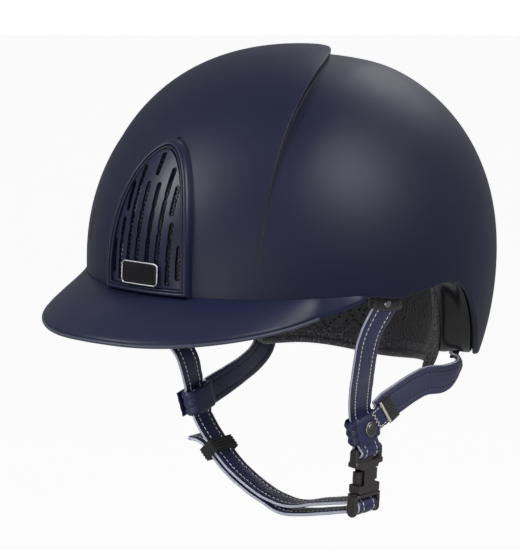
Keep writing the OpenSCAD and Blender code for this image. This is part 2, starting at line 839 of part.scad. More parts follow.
tab_h = loop_h - 2.5;
tab_start = 5.5;
tab_end = 22;
module strap_loop(pos, turn, tab_turn, side) {
    color(leather_navy) translate(pos) rotate(turn) {
        translate([0, 0, -loop_h / 2]) linear_extrude(height = loop_h) difference() {
            stadium(loop_in_w + 2 * loop_wall, loop_in_t + 2 * loop_wall);
            stadium(loop_in_w, loop_in_t);
        }
        rotate(tab_turn)
            translate([side > 0 ? loop_in_t / 2 : -loop_in_t / 2 - loop_wall, tab_start, -tab_h / 2])
                cube([loop_wall, tab_end - tab_start, tab_h]);
    }
}
module strap_loop_left() {
    strap_loop(loop_pos_left, loop_turn_left, tab_turn_left, 1);
}
module strap_loop_right() {
    strap_loop(loop_pos_right, loop_turn_right, tab_turn_right, -1);
}

// The flap lies over the loop's outer face and swings open about its front edge
flap_face = loop_in_t / 2 + loop_wall + flap_gap;
flap_l = 12.8;
module loop_flap(pos, turn, side) {
    color(leather_navy) translate(pos) rotate(turn)
        translate([side < 0 ? -flap_face - flap_t : flap_face, flap_front + 1, -loop_h / 2])
            cube([flap_t, flap_l, loop_h]);
}
module loop_flap_left() {
    loop_flap(loop_pos_left, loop_turn_left, 1);
}
module loop_flap_right() {
    loop_flap(loop_pos_right, loop_turn_right, -1);
}

stud_y = -1;
module stud_cap(pos, turn, side) {
    cap_h = 1.5;
    color(steel) translate(pos) rotate(turn)
        translate([side * (flap_face + flap_t + 0.05), stud_y, 0]) rotate([0, side * 90, 0])
            rotate_extrude($fn = 48)
                polygon([[0, 0], [stud_r, 0], [stud_r, 0.5], [stud_r - 0.7, cap_h - 0.2],
                    [stud_r - 1.6, cap_h], [0, cap_h - 0.3]]);
}
module stud_cap_left() {
    stud_cap(loop_pos_left, loop_turn_left, 1);
}
module stud_cap_right() {
    stud_cap(loop_pos_right, loop_turn_right, -1);
}
module stud_post(pos, turn, side) {
    color(steel) translate(pos) rotate(turn)
        translate([side * (loop_in_t / 2 - 0.35), stud_y, 0]) rotate([0, side * 90, 0])
            cylinder(r = 2.4, h = 0.3, $fn = 32);
}
module stud_post_left() {
    stud_post(loop_pos_left, loop_turn_left, 1);
}
module stud_post_right() {
    stud_post(loop_pos_right, loop_turn_right, -1);
}

// A cloth label, left blank, sewn to the tab behind the left loop
module blank_label() {
    label_w = 8;
    color(black) translate(loop_pos_left) rotate(loop_turn_left) rotate(tab_turn_left)
        translate([loop_in_t / 2 + loop_wall + 0.1, tab_end - label_w, -loop_h / 2])
            cube([0.9, label_w + 0.5, loop_h]);
}

// ---- Chin strap ----------------------------------------------------------------------

// The chin strap comes down through the right loop, round under the chin and over the tongue's
// bar, and its return run lies below it up to the keeper, where its tail stands off
chin_route = [
    [-57.2, -14, -94.5], [-51.6, -14, -102.4], [-43.2, -14, -111.6], [-33.4, -14, -120.4],
    [-21, -14, -128], [-5, -14, -134.8], [13, -14, -137.2], [32.5, -13.5, -132.8]
];
chin_across = [0, 1, 0];
layer_step = strap_t + 0.5;
wrap_angles = [115, 80, 45, 10, -25, -60, -95];
keeper_stop = 2;

function below(i, step) =
    let (d = unit(chin_route[i + 1] - chin_route[i - 1]))
    chin_route[i] + step * unit(cross(chin_across, d));
function with_across(points) = [for (p = points) [p, chin_across]];

module chin_strap() {
    color(leather_navy) strap(concat(
        loop_lane(loop_pos_right, loop_turn_right, 1, [6, 0, -5.5]),
        with_across(chin_route),
        with_across([for (a = wrap_angles) tongue_point(a, 0)])
    ));
}

module chin_strap_return() {
    tail = [[-50, -14, -110], [-55.4, -14, -108.3], [-61, -14, -108.2]];
    color(leather_navy) strap(with_across(concat(
        [tongue_point(-128, 0), below(6, layer_step + 1.6)],
        [for (i = [5 : -1 : keeper_stop]) below(i, layer_step)],
        tail
    )));
}

// The keeper is a rubber band round both runs of the chin strap
keeper_dir = unit(chin_route[keeper_stop + 1] - chin_route[keeper_stop - 1]);
keeper_lean = atan2(keeper_dir[0], -keeper_dir[2]);
keeper_wall = 1.7;
keeper_play = 0.9;
module strap_keeper() {
    inner_t = strap_t + layer_step + 2 * keeper_play;
    inner_w = strap_w + 2 * keeper_play;
    color(black) translate(below(keeper_stop, layer_step / 2)) rotate([0, -keeper_lean, 0])
        translate([0, 0, -keeper_w / 2]) linear_extrude(height = keeper_w) difference() {
            stadium_box(inner_t + 2 * keeper_wall, inner_w + 2 * keeper_wall, 2.4);
            stadium_box(inner_t, inner_w, 0.8);
        }
}
module stadium_box(a, b, r) {
    hull() for (x = [-1, 1], y = [-1, 1])
        translate([x * (a / 2 - r), y * (b / 2 - r)]) circle(r = r, $fn = 24);
}

// ---- Side-release buckle -------------------------------------------------------------

ear_t = 2.3;
ear_r = bar_r + 1;
cavity_w = buckle_w - 2 * buckle_wall;
cavity_t = buckle_t - 2 * buckle_wall;
prong_t = cavity_t - 2 * buckle_gap;
prong_w = 2.2;
pad_w = 3.8;
pad_low = body_end + 5.5;
pad_high = body_end + 13;

module in_buckle() {
    translate(buckle_pos) rotate([0, buckle_lean, 0]) children();
}
module rounded_block(t, w, z0, z1, r) {
    translate([0, 0, z0]) linear_extrude(height = z1 - z0) stadium_box(t, w, r);
}
module strap_bar(z, w) {
    translate([0, w / 2, z]) rotate([90, 0, 0]) cylinder(r = bar_r, h = w, $fn = 32);
}

module buckle_body() {
    ear_y = (strap_w + 2.4 + ear_t) / 2;
    color(black) in_buckle() difference() {
        union() {
            rounded_block(buckle_t, buckle_w, body_end, body_top, 2);
            rounded_block(buckle_t - 1.2, 2 * ear_y + ear_t, body_top - 3, body_top, 2);
            strap_bar(0, 2 * ear_y);
            for (side = [-1, 1]) {
                translate([0, side * ear_y, 0]) rotate([90, 0, 0])
                    cylinder(r = ear_r, h = ear_t, center = true, $fn = 32);
                translate([-ear_r, side * ear_y - ear_t / 2, body_top - 3])
                    cube([2 * ear_r, ear_t, 3 - body_top]);
            }
        }
        translate([-cavity_t / 2, -cavity_w / 2, body_end - 1])
            cube([cavity_t, cavity_w, buckle_l - 2.5]);
        for (side = [-1, 1])
            translate([-cavity_t / 2 - 0.3, side > 0 ? cavity_w / 2 - 1 : -buckle_w, pad_low - 0.8])
                cube([cavity_t + 0.6, buckle_w / 2 + 3, pad_high - pad_low + 1.6]);
    }
}

module buckle_tongue() {
    cheek_t = 2.2;
    cheek_y = (strap_w + 1.4 + cheek_t) / 2;
    guide_w = 3;
    mouth_w = max(buckle_w + 1.5, 2 * cheek_y - 1.5);
    color(black) in_buckle() union() {
        rounded_block(buckle_t, mouth_w, tongue_top - 2, tongue_top, 2);
        translate([-prong_t / 2, -guide_w / 2, tongue_top - 1])
            cube([prong_t, guide_w, buckle_l - 5]);
        strap_bar(tongue_bar_z, 2 * cheek_y);
        for (side = [-1, 1])
            translate([-3.4, side * cheek_y - cheek_t / 2, tongue_bar_z - 6])
                cube([6.8, cheek_t, tongue_top - 1 - tongue_bar_z + 6]);
    }
}

// A prong stands in the body on a thin root, and its pad shows in the side window
module buckle_prong(side) {
    out = cavity_w / 2 - buckle_gap;
    color(black) in_buckle() mirror([0, side < 0 ? 1 : 0, 0]) union() {
        translate([-prong_t / 2, out - prong_w, tongue_top + 0.3])
            cube([prong_t, prong_w, pad_high - 1 - tongue_top]);
        translate([0, out - pad_w + 1.9, (pad_low + pad_high) / 2]) rotate([0, 90, 0])
            linear_extrude(height = prong_t, center = true)
                stadium_box(pad_high - pad_low - 0.6, pad_w, 1.2);
    }
}
module buckle_prong_front() {
    buckle_prong(-1);
}
module buckle_prong_rear() {
    buckle_prong(1);
}

outer_shell();
peak();
peak_lining();
peak_edge_bead();
vent_frame();
vent_grille();
vent_mesh();
badge_plate();
badge_rim();
vent_screws();
impact_liner();
rim_frame();
head_band();
nape_pad();
crown_pad();
nape_piping();
hook_and_loop_patches();
front_strap_left();
front_strap_right();
rear_strap_left();
rear_strap_right();
front_anchor_left();
front_anchor_right();
rear_anchor_left();
rear_anchor_right();
anchor_rivets();
strap_loop_left();
strap_loop_right();
loop_flap_left();
loop_flap_right();
stud_cap_left();
stud_cap_right();
stud_post_left();
stud_post_right();
blank_label();
chin_strap();
chin_strap_return();
strap_keeper();
buckle_body();
buckle_tongue();
buckle_prong_front();
buckle_prong_rear();
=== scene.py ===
"""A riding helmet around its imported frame: shell, peak, vent, padding, leather harness and buckle.

All lengths are in metres. The front faces -Y, the wearer's left is +X and +Z is up.
"""

import math
from contextlib import contextmanager

import bmesh
import bpy
import numpy as np
from mathutils import Matrix, Vector


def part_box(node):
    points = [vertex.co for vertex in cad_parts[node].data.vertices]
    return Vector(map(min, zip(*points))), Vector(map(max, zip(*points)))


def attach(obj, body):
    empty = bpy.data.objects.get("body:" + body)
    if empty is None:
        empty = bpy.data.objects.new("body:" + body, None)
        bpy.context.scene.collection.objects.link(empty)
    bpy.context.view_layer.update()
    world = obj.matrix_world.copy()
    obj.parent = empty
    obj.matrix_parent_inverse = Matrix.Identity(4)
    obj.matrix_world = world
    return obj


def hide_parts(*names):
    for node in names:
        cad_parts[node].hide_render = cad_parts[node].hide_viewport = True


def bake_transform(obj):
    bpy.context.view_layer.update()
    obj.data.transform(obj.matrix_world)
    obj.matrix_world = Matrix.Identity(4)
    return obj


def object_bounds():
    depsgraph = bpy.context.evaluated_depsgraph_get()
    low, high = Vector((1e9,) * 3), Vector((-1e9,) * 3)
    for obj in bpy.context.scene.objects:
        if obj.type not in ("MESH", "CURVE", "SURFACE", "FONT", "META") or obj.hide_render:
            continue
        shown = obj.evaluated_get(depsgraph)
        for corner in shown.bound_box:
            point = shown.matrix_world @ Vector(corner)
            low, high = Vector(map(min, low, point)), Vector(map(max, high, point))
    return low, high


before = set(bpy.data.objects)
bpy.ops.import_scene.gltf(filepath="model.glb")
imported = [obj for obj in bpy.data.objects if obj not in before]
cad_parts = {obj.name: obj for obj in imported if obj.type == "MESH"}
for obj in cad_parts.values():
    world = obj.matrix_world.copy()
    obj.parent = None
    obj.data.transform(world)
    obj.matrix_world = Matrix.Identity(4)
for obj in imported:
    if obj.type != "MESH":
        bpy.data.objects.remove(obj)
cad_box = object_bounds()

MM = 0.001

# ---- Sizes taken from the frame ------------------------------------------------------

shell_low, shell_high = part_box("outer_shell")
HALF_W = shell_high.x
HALF_L = -shell_low.y
WIDEST_Z = 5 * MM
CROWN_H = shell_high.z - 2.7 * MM - WIDEST_Z
UNDER_DEPTH = 147 * MM
POWER = 2.14
RIDGE_BACK = 20.0
RIDGE_SWEEP = 0.034
RIDGE_RISE = 2.7 * MM
RIDGE_DIP = 2.6 * MM
RIDGE_FOOT_Z = 28 * MM
NAPE_DROP = 51.5 * MM
EAR_ANGLE = 94
EAR_RUN = 32
SHELL_T = 3 * MM
LINER_INSET = 3.8 * MM
LINER_T = 17 * MM
PAD_INSET = LINER_INSET + LINER_T + 1.8 * MM
PAD_T = 5 * MM
WIDE_MM = 17
THICK_MM = 2.6
STRAP_W = WIDE_MM * MM
STRAP_T = THICK_MM * MM

# ---- Camera --------------------------------------------------------------------------

CAMERA_AZIMUTH = math.radians(38.99)
CAMERA_ELEVATION = math.radians(10.24)
CAMERA_DISTANCE = 1.8
CAMERA_LENS = 205.9
CAMERA_RIGHT = -0.01935
CAMERA_UP = -0.00717
BACK = Vector((
    math.sin(CAMERA_AZIMUTH) * math.cos(CAMERA_ELEVATION),
    -math.cos(CAMERA_AZIMUTH) * math.cos(CAMERA_ELEVATION),
    math.sin(CAMERA_ELEVATION),
))
RIGHT = Vector((math.cos(CAMERA_AZIMUTH), math.sin(CAMERA_AZIMUTH), 0))
UP = BACK.cross(RIGHT)


def make_camera():
    camera = bpy.data.objects.new("camera", bpy.data.cameras.new("camera"))
    bpy.context.scene.collection.objects.link(camera)
    target = RIGHT * CAMERA_RIGHT + UP * CAMERA_UP
    camera.matrix_world = Matrix.Translation(target + BACK * CAMERA_DISTANCE) @ Matrix(
        (RIGHT, UP, BACK)).transposed().to_4x4()
    camera.data.lens = CAMERA_LENS
    camera.data.sensor_width = 36
    camera.data.sensor_fit = "AUTO"
    camera.data.clip_end = 20
    bpy.context.scene.camera = camera


make_camera()
bpy.context.scene.view_settings.view_transform = "Standard"

# ---- Mesh helpers --------------------------------------------------------------------


def unit(v):
    v = np.asarray(v, float)
    return v / np.maximum(np.linalg.norm(v, axis=-1, keepdims=True), 1e-12)


def smooth_step(x):
    c = np.clip(x, 0, 1)
    return c * c * (3 - 2 * c)


def smooth_all(mesh):
    mesh.polygons.foreach_set("use_smooth", [True] * len(mesh.polygons))


def make_object(name, points, faces, materials=(), slots=None):
    mesh = bpy.data.meshes.new(name)
    mesh.from_pydata([tuple(p) for p in points], [], [tuple(f) for f in faces])
    mesh.validate()
    obj = bpy.data.objects.new(name, mesh)
    bpy.context.scene.collection.objects.link(obj)
    for m in materials:
        mesh.materials.append(m)
    if slots is not None and len(slots) == len(mesh.polygons):
        mesh.polygons.foreach_set("material_index", slots)
    smooth_all(mesh)
    return obj


def grid_faces(rows, columns, wrap_columns=False, wrap_rows=False, first=0, flip=False):
    faces = []
    for i in range(rows if wrap_rows else rows - 1):
        for j in range(columns if wrap_columns else columns - 1):
            a = first + i * columns + j
            b = first + i * columns + (j + 1) % columns
            c = first + (i + 1) % rows * columns + (j + 1) % columns
            d = first + (i + 1) % rows * columns + j
            faces.append((a, d, c, b) if flip else (a, b, c, d))
    return faces


def slab_faces(rows, columns):
    """Faces of two grids of points that follow each other, with walls between their borders."""
    n = rows * columns
    ring = list(range(columns)) + [i * columns + columns - 1 for i in range(1, rows)]
    ring += [n - 1 - j for j in range(1, columns)] + [i * columns for i in range(rows - 2, 0, -1)]
    walls = [(a, a + n, b + n, b) for a, b in zip(ring, ring[1:] + ring[:1])]
    return grid_faces(rows, columns) + grid_faces(rows, columns, first=n, flip=True) + walls


def bar_faces(rows, columns):
    """Faces of a bar whose rows close round it, with both of its ends filled."""
    start = tuple(i * columns for i in range(rows))
    end = tuple(i * columns + columns - 1 for i in range(rows))[::-1]
    return grid_faces(rows, columns, wrap_rows=True) + [start, end]


@contextmanager
def editing(obj):
    b = bmesh.new()
    b.from_mesh(obj.data)
    yield b
    b.to_mesh(obj.data)
    b.free()


def clean(obj, distance=1e-5):
    """Welds doubled points and turns the faces outwards."""
    with editing(obj) as b:
        bmesh.ops.remove_doubles(b, verts=b.verts, dist=distance)
        bmesh.ops.dissolve_degenerate(b, edges=b.edges, dist=1e-6)
        bmesh.ops.recalc_face_normals(b, faces=b.faces)
    return obj


def points_of(obj):
    return np.array([v.co for v in obj.data.vertices])


def move_points(obj, points):
    obj.data.vertices.foreach_set("co", points.ravel())
    obj.data.update()


def modify(obj, kind, **settings):
    modifier = obj.modifiers.new(kind.lower(), kind)
    for key, value in settings.items():
        setattr(modifier, key, value)
    return modifier


def apply_modifiers(obj):
    graph = bpy.context.evaluated_depsgraph_get()
    mesh = bpy.data.meshes.new_from_object(obj.evaluated_get(graph))
    materials = list(obj.data.materials)
    obj.modifiers.clear()
    obj.data = mesh
    obj.data.materials.clear()
    for m in materials:
        obj.data.materials.append(m)
    return obj


def shade_by_angle(obj, degrees=35):
    """Smooth faces that meet below the angle, sharp edges elsewhere."""
    with editing(obj) as b:
        for e in b.edges:
            sharp = len(e.link_faces) == 2 and e.calc_face_angle(0) > math.radians(degrees)
            e.smooth = not sharp
        for f in b.faces:
            f.smooth = True
    return obj


def join(name, objects):
    """Merges meshes into one object, keeping each one's materials."""
    points, faces, slots, materials = [], [], [], []
    for o in objects:
        first = len(points)
        points += [o.matrix_world @ v.co for v in o.data.vertices]
        index = []
        for m in o.data.materials:
            if m not in materials:
                materials.append(m)
            index.append(materials.index(m))
        for p in o.data.polygons:
            faces.append(tuple(first + v for v in p.vertices))
            slots.append(index[p.material_index] if index else 0)
        bpy.data.objects.remove(o)
    return make_object(name, points, faces, materials, slots=slots)


def place(obj, body, replaced=()):
    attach(obj, body)
    if replaced:
        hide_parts(*replaced)
    return obj


def spline(points, steps):
    """A Catmull-Rom curve through the points."""
    p = np.asarray(points, float)
    out = []
    n = len(p) - 1
    for i in range(n):
        a, b, c, d = p[max(0, i - 1)], p[i], p[i + 1], p[min(n, i + 2)]
        for s in range(steps):
            u = s / steps
            out.append(0.5 * (2 * b + (c - a) * u + (2 * a - 5 * b + 4 * c - d) * u ** 2
                              + (3 * b - 3 * c + d - a) * u ** 3))
    out.append(p[-1])
    return np.array(out)


def resample(line, extras, spacing):
    """Evenly spaced points along a polyline, with the extra columns carried along."""
    lengths = np.concatenate([[0], np.cumsum(np.linalg.norm(np.diff(line, axis=0), axis=1))])
    n = max(2, int(round(lengths[-1] / spacing)) + 1)
    at = np.linspace(0, lengths[-1], n)
    pick = lambda a: np.stack([np.interp(at, lengths, a[:, k]) for k in range(a.shape[1])], 1)
    return pick(line), [pick(e) for e in extras], at


def tube_points(line, radius, sides):
    line = np.asarray(line, float)
    t = unit(np.gradient(line, axis=0))
    side = np.cross(t[0], [0.3, 0.2, 1.0])
    rings = []
    angles = np.arange(sides) / sides * 2 * math.pi
    for i in range(len(line)):
        side = unit(side - t[i] * np.dot(side, t[i]))
        up = np.cross(t[i], side)
        r = radius[i] if np.ndim(radius) else radius
        rings.append(line[i] + r * (np.cos(angles)[:, None] * side + np.sin(angles)[:, None] * up))
    return np.array(rings)


def add_tube(points, faces, line, radius, sides=6, closed=False):
    rings = tube_points(line, radius, sides)
    first = len(points)
    points.extend(rings.reshape(-1, 3))
    faces.extend(grid_faces(len(rings), sides, True, closed, first))
    if not closed:
        faces.append(tuple(first + k for k in range(sides))[::-1])
        faces.append(tuple(first + (len(rings) - 1) * sides + k for k in range(sides)))


def tube(name, line, radius, material, sides=10, closed=False):
    points, faces = [], []
    add_tube(points, faces, line, radius, sides, closed)
    return clean(make_object(name, points, faces, [material]))


# ---- Materials -----------------------------------------------------------------------


class Shader:
    """A Principled material that is built up from small procedural layers."""

    def __init__(self, name, color, roughness, metallic=0.0, specular=0.5, sheen=0.0,
                 coat=0.0, coat_roughness=0.1):
        self.material = bpy.data.materials.new(name)
        self.material.use_nodes = True
        self.nodes = self.material.node_tree.nodes
        self.links = self.material.node_tree.links
        self.surface = self.nodes["Principled BSDF"]
        self.surface.inputs["Metallic"].default_value = metallic
        self.surface.inputs["Specular IOR Level"].default_value = specular
        self.surface.inputs["Sheen Weight"].default_value = sheen
        self.surface.inputs["Sheen Roughness"].default_value = 0.4
        self.surface.inputs["Coat Weight"].default_value = coat
        self.surface.inputs["Coat Roughness"].default_value = coat_roughness
        self.coordinates = self.nodes.new("ShaderNodeTexCoord").outputs["Object"]
        self.color = self.rgb(color)
        self.roughness = self.number(roughness)
        self.height = None

    def rgb(self, color):
        node = self.nodes.new("ShaderNodeRGB")
        node.outputs[0].default_value = (*color, 1)
        return node.outputs[0]

    def number(self, value):
        node = self.nodes.new("ShaderNodeValue")
        node.outputs[0].default_value = value
        return node.outputs[0]

    def math(self, operation, a, b=0.0, c=0.0):
        node = self.nodes.new("ShaderNodeMath")
        node.operation = operation
        for socket, value in zip(node.inputs, (a, b, c)):
            if isinstance(value, (int, float)):
                socket.default_value = value
            else:
                self.links.new(value, socket)
        return node.outputs[0]

    def ramp(self, value, low, high):
        node = self.nodes.new("ShaderNodeMapRange")
        node.interpolation_type = "SMOOTHSTEP"
        node.inputs["From Min"].default_value = low
        node.inputs["From Max"].default_value = high
        self.links.new(value, node.inputs["Value"])
        return node.outputs["Result"]

    def noise(self, scale, detail=3.0, roughness=0.5, stretch=(1, 1, 1)):
        node = self.nodes.new("ShaderNodeTexNoise")
        node.inputs["Scale"].default_value = scale
        node.inputs["Detail"].default_value = detail
        node.inputs["Roughness"].default_value = roughness
        self.links.new(self.mapped(stretch), node.inputs["Vector"])
        return node.outputs["Fac"]

    def mapped(self, stretch=(1, 1, 1), turn=(0, 0, 0)):
        node = self.nodes.new("ShaderNodeMapping")
        node.inputs["Scale"].default_value = stretch
        node.inputs["Rotation"].default_value = turn
        self.links.new(self.coordinates, node.inputs["Vector"])
        return node.outputs["Vector"]

    def cells(self, scale, feature="F1"):
        node = self.nodes.new("ShaderNodeTexVoronoi")
        node.feature = feature
        node.inputs["Scale"].default_value = scale
        self.links.new(self.mapped(), node.inputs["Vector"])
        return node.outputs["Distance"]

    def waves(self, scale, turn=(0, 0, 0), distortion=0.0):
        node = self.nodes.new("ShaderNodeTexWave")
        node.inputs["Scale"].default_value = scale
        node.inputs["Distortion"].default_value = distortion
        self.links.new(self.mapped(turn=turn), node.inputs["Vector"])
        return node.outputs["Fac"]

    def tint(self, factor, color, strength=1.0):
        """Mixes a colour in where the factor is high."""
        node = self.nodes.new("ShaderNodeMix")
        node.data_type = "RGBA"
        self.links.new(self.math("MULTIPLY", factor, strength), node.inputs["Factor"])
        self.links.new(self.color, node.inputs["A"])
        node.inputs["B"].default_value = (*color, 1)
        self.color = node.outputs["Result"]

    def roughen(self, factor, amount):
        self.roughness = self.math("MULTIPLY_ADD", factor, amount, self.roughness)

    def raise_by(self, factor, amount):
        layer = self.math("MULTIPLY", factor, amount)
        self.height = layer if self.height is None else self.math("ADD", self.height, layer)

    def edges(self, low=0.52, high=0.6):
        """High on worn, outward edges."""
        node = self.nodes.new("ShaderNodeNewGeometry")
        return self.ramp(node.outputs["Pointiness"], low, high)

    def done(self, bump=1.0, distance=0.1 * MM):
        self.links.new(self.color, self.surface.inputs["Base Color"])
        self.links.new(self.roughness, self.surface.inputs["Roughness"])
        if self.height is not None:
            node = self.nodes.new("ShaderNodeBump")
            node.inputs["Strength"].default_value = bump
            node.inputs["Distance"].default_value = distance
            self.links.new(self.height, node.inputs["Height"])
            self.links.new(node.outputs["Normal"], self.surface.inputs["Normal"])
        return self.material


def soft_touch(name, color, roughness=0.46):
    """Matte painted shell: fine orange peel, faint cloudiness, slightly rubbed patches."""
    s = Shader(name, color, roughness, specular=0.24)
    s.tint(s.noise(18, 4), [c * 1.35 + 0.001 for c in color], 0.4)
    s.tint(s.ramp(s.noise(45, 6, 0.7), 0.55, 0.75), [c * 1.7 + 0.001 for c in color], 0.25)
    s.roughen(s.noise(60, 5), 0.07)
    s.raise_by(s.noise(900, 2), 0.6)
    s.raise_by(s.noise(3500, 2), 0.4)
    return s.done(0.22, 0.06 * MM)


def gloss_plastic(name, color, roughness=0.16):
    """Moulded glossy plastic with soft flow marks and uneven gloss."""
    s = Shader(name, color, roughness, specular=0.24)
    s.tint(s.noise(35, 5), [c * 1.6 + 0.002 for c in color], 0.35)
    s.roughen(s.noise(120, 6), 0.12)
    s.raise_by(s.noise(70, 3), 1.0)
    s.raise_by(s.noise(1500, 2), 0.12)
    return s.done(0.25, 0.25 * MM)


def moulded_plastic(name, color, roughness=0.5, specular=0.35):
    """Spark-eroded plastic grain with polished edges."""
    s = Shader(name, color, roughness, specular=specular)
    s.tint(s.noise(90, 4), [c * 1.5 for c in color], 0.4)
    s.tint(s.edges(), [c * 2.6 + 0.01 for c in color], 0.5)
    s.roughen(s.edges(), -0.18)
    s.raise_by(s.cells(2600), 1.0)
    s.raise_by(s.noise(1200, 3), 0.6)
    return s.done(0.35, 0.1 * MM)


def leather(name, color, roughness=0.42, grain=1100):
    """Grained leather: pebbles, creases, mottled dye, burnished highs."""
    s = Shader(name, color, roughness, specular=0.35, sheen=0.02, coat=0.2, coat_roughness=0.22)
    pebble = s.cells(grain)
    s.tint(s.noise(110, 5, 0.6), [c * 1.7 + 0.004 for c in color], 0.5)
    s.tint(s.ramp(pebble, 0.25, 0.6), [c * 0.55 for c in color], 0.5)
    s.tint(s.edges(0.53, 0.64), [c * 2.0 + 0.02 for c in color], 0.35)
    s.roughen(s.noise(300, 4), 0.14)
    s.raise_by(pebble, -1.0)
    s.raise_by(s.noise(420, 5, 0.65), 1.2)
    return s.done(0.55, 0.14 * MM)


def heather_cloth(name, color, fleck, scale=1500):
    """Brushed knit with pale and dark flecks."""
    s = Shader(name, color, 0.92, specular=0.2, sheen=0.35)
    s.tint(s.ramp(s.noise(scale, 3, 0.7), 0.5, 0.68), fleck, 0.8)
    streaks = s.noise(scale * 0.35, 4, 0.7, (1, 1, 2.4))
    s.tint(s.ramp(streaks, 0.5, 0.7), [c * 0.3 for c in color], 0.7)
    s.tint(s.noise(60, 3), [c * 1.5 for c in color], 0.4)
    s.raise_by(s.noise(scale * 0.8, 3, 0.7), 1.0)
    s.raise_by(s.cells(scale * 0.6), 0.7)
    return s.done(0.9, 0.35 * MM)


def air_mesh(name, color, fleck, scale=330):
    """Open honeycomb knit: dark holes between raised, paler threads."""
    s = Shader(name, color, 0.85, specular=0.25, sheen=0.2)
    hole = s.ramp(s.cells(scale), 0.18, 0.42)
    s.tint(hole, fleck, 0.75)
    s.tint(s.noise(900, 3), [c * 0.4 for c in color], 0.5)
    s.raise_by(hole, 1.0)
    s.raise_by(s.noise(1800, 2), 0.3)
    return s.done(1.0, 0.6 * MM)


def woven(name, color, pitch=700):
    """Plain weave tape: crossed ribs with uneven threads."""
    s = Shader(name, color, 0.8, specular=0.3, sheen=0.2)
    warp = s.waves(pitch, (0, 0, 0.6), 0.4)
    weft = s.waves(pitch, (0, math.pi / 2, 0.6), 0.4)
    weave = s.math("MULTIPLY", warp, weft)
    s.tint(weave, [c * 2.4 + 0.01 for c in color], 0.6)
    s.tint(s.noise(150, 4), [c * 0.5 for c in color], 0.5)
    s.raise_by(weave, 1.0)
    return s.done(0.8, 0.2 * MM)


def dark_metal(name, color, roughness=0.3):
    """Dark plated metal with fine scratches and rubbed edges."""
    s = Shader(name, color, roughness, metallic=1.0)
    s.tint(s.edges(0.52, 0.58), [min(1, c * 3 + 0.08) for c in color], 0.6)
    s.tint(s.noise(200, 5), [c * 0.5 for c in color], 0.4)
    s.roughen(s.noise(900, 4, 0.6, (1, 1, 8)), 0.25)
    s.raise_by(s.noise(1800, 3, 0.6, (1, 1, 6)), 1.0)
    return s.done(0.2, 0.05 * MM)


def bead_foam(name, color):
    """Expanded foam: pressed beads with fine dark joints."""
    s = Shader(name, color, 0.75, specular=0.3)
    joint = s.ramp(s.cells(330, "DISTANCE_TO_EDGE"), 0.0, 0.12)
    s.tint(s.math("SUBTRACT", 1.0, joint), [c * 0.3 for c in color], 0.8)
    s.tint(s.noise(240, 3), [c * 1.8 + 0.004 for c in color], 0.5)
    s.raise_by(joint, 1.0)
    return s.done(0.7, 0.25 * MM)


def thread(name, color):
    """Twisted thread: diagonal ply and soft fuzz."""
    s = Shader(name, color, 0.7, specular=0.3, sheen=0.3)
    ply = s.waves(2600, (0.6, 0.6, 0), 1.0)
    s.tint(ply, [c * 0.55 for c in color], 0.6)
    s.tint(s.noise(500, 3), [min(1, c * 1.2) for c in color], 0.5)
    s.raise_by(ply, 1.0)
    return s.done(0.6, 0.08 * MM)


def rubber(name, color):
    """Dull rubber with bloom and a fine matte grain."""
    s = Shader(name, color, 0.62, specular=0.35)
    s.tint(s.noise(160, 5), [c * 2.2 + 0.006 for c in color], 0.5)
    s.raise_by(s.noise(1600, 3), 0.6)
    s.raise_by(s.cells(1900), 0.5)
    return s.done(0.45, 0.1 * MM)


NAVY_SHELL = (0.0036, 0.0048, 0.0190)
NAVY_LEATHER = (0.013, 0.0165, 0.062)
M = {
    "shell": soft_touch("shell_paint", NAVY_SHELL),
    "peak": soft_touch("peak_paint", (0.0062, 0.0078, 0.026), 0.42),
    # Peak edge bead, lighter than the peak: the bead is a real part, its lighter colour a painted highlight
    # along the edge.
    "peak_edge": soft_touch("peak_edge_painted_highlight", (0.035, 0.038, 0.06), 0.38),
    "vent": gloss_plastic("vent_plastic", (0.0055, 0.0068, 0.022), 0.3),
    "badge": gloss_plastic("badge_black", (0.004, 0.004, 0.005), 0.12),
    "silver": dark_metal("badge_silver", (0.30, 0.30, 0.32), 0.26),
    "steel": dark_metal("dark_steel", (0.13, 0.125, 0.125), 0.28),
    "wire": dark_metal("wire_black", (0.10, 0.10, 0.11), 0.32),
    "foam": bead_foam("impact_foam", (0.012, 0.012, 0.013)),
    "gloss": gloss_plastic("gloss_black", (0.0015, 0.0015, 0.002), 0.1),
    "heather": heather_cloth("heather_grey", (0.040, 0.040, 0.045), (0.36, 0.36, 0.38), 1200),
    "mesh_cloth": air_mesh("air_mesh", (0.006, 0.006, 0.007), (0.085, 0.085, 0.092), 420),
    "tape": woven("black_tape", (0.008, 0.008, 0.009)),
    "lining": woven("peak_cloth", (0.010, 0.010, 0.012), 900),
    "leather": leather("navy_leather", NAVY_LEATHER),
    "leather_pale": leather("navy_leather_pale", (0.026, 0.029, 0.070), 0.5, 1300),
    # Pale strap edges: a painted highlight for the light along the straps' rounded sides.
    "painted_edge_highlight": leather("painted_strap_edge_highlight", (0.42, 0.43, 0.52), 0.34, 1600),
    "thread_white": thread("thread_white", (0.62, 0.60, 0.56)),
    "thread_dark": thread("thread_dark", (0.008, 0.008, 0.015)),
    "thread_black": thread("thread_black", (0.03, 0.03, 0.033)),
    "rubber": rubber("keeper_rubber", (0.010, 0.010, 0.011)),
    "buckle": moulded_plastic("buckle_plastic", (0.020, 0.0165, 0.0172), 0.33, 0.5),
    "label": woven("label_black", (0.006, 0.006, 0.007), 1200),
    "label_band": woven("label_band", (0.42, 0.40, 0.36), 1200),
}

# ---- The dome, as the frame has it ---------------------------------------------------


def dome_k(t):
    return np.where(t <= 90, np.maximum(0, np.sin(np.radians(t))) ** (2 / POWER), np.cos(np.radians(t - 90)))


def dome_rise(t, inset, crown_inset):
    high = (CROWN_H - crown_inset) * np.maximum(0, np.cos(np.radians(t))) ** (2 / POWER)
    low = -(UNDER_DEPTH - inset) * np.sin(np.radians(t - 90))
    return np.where(t <= 90, high, low)


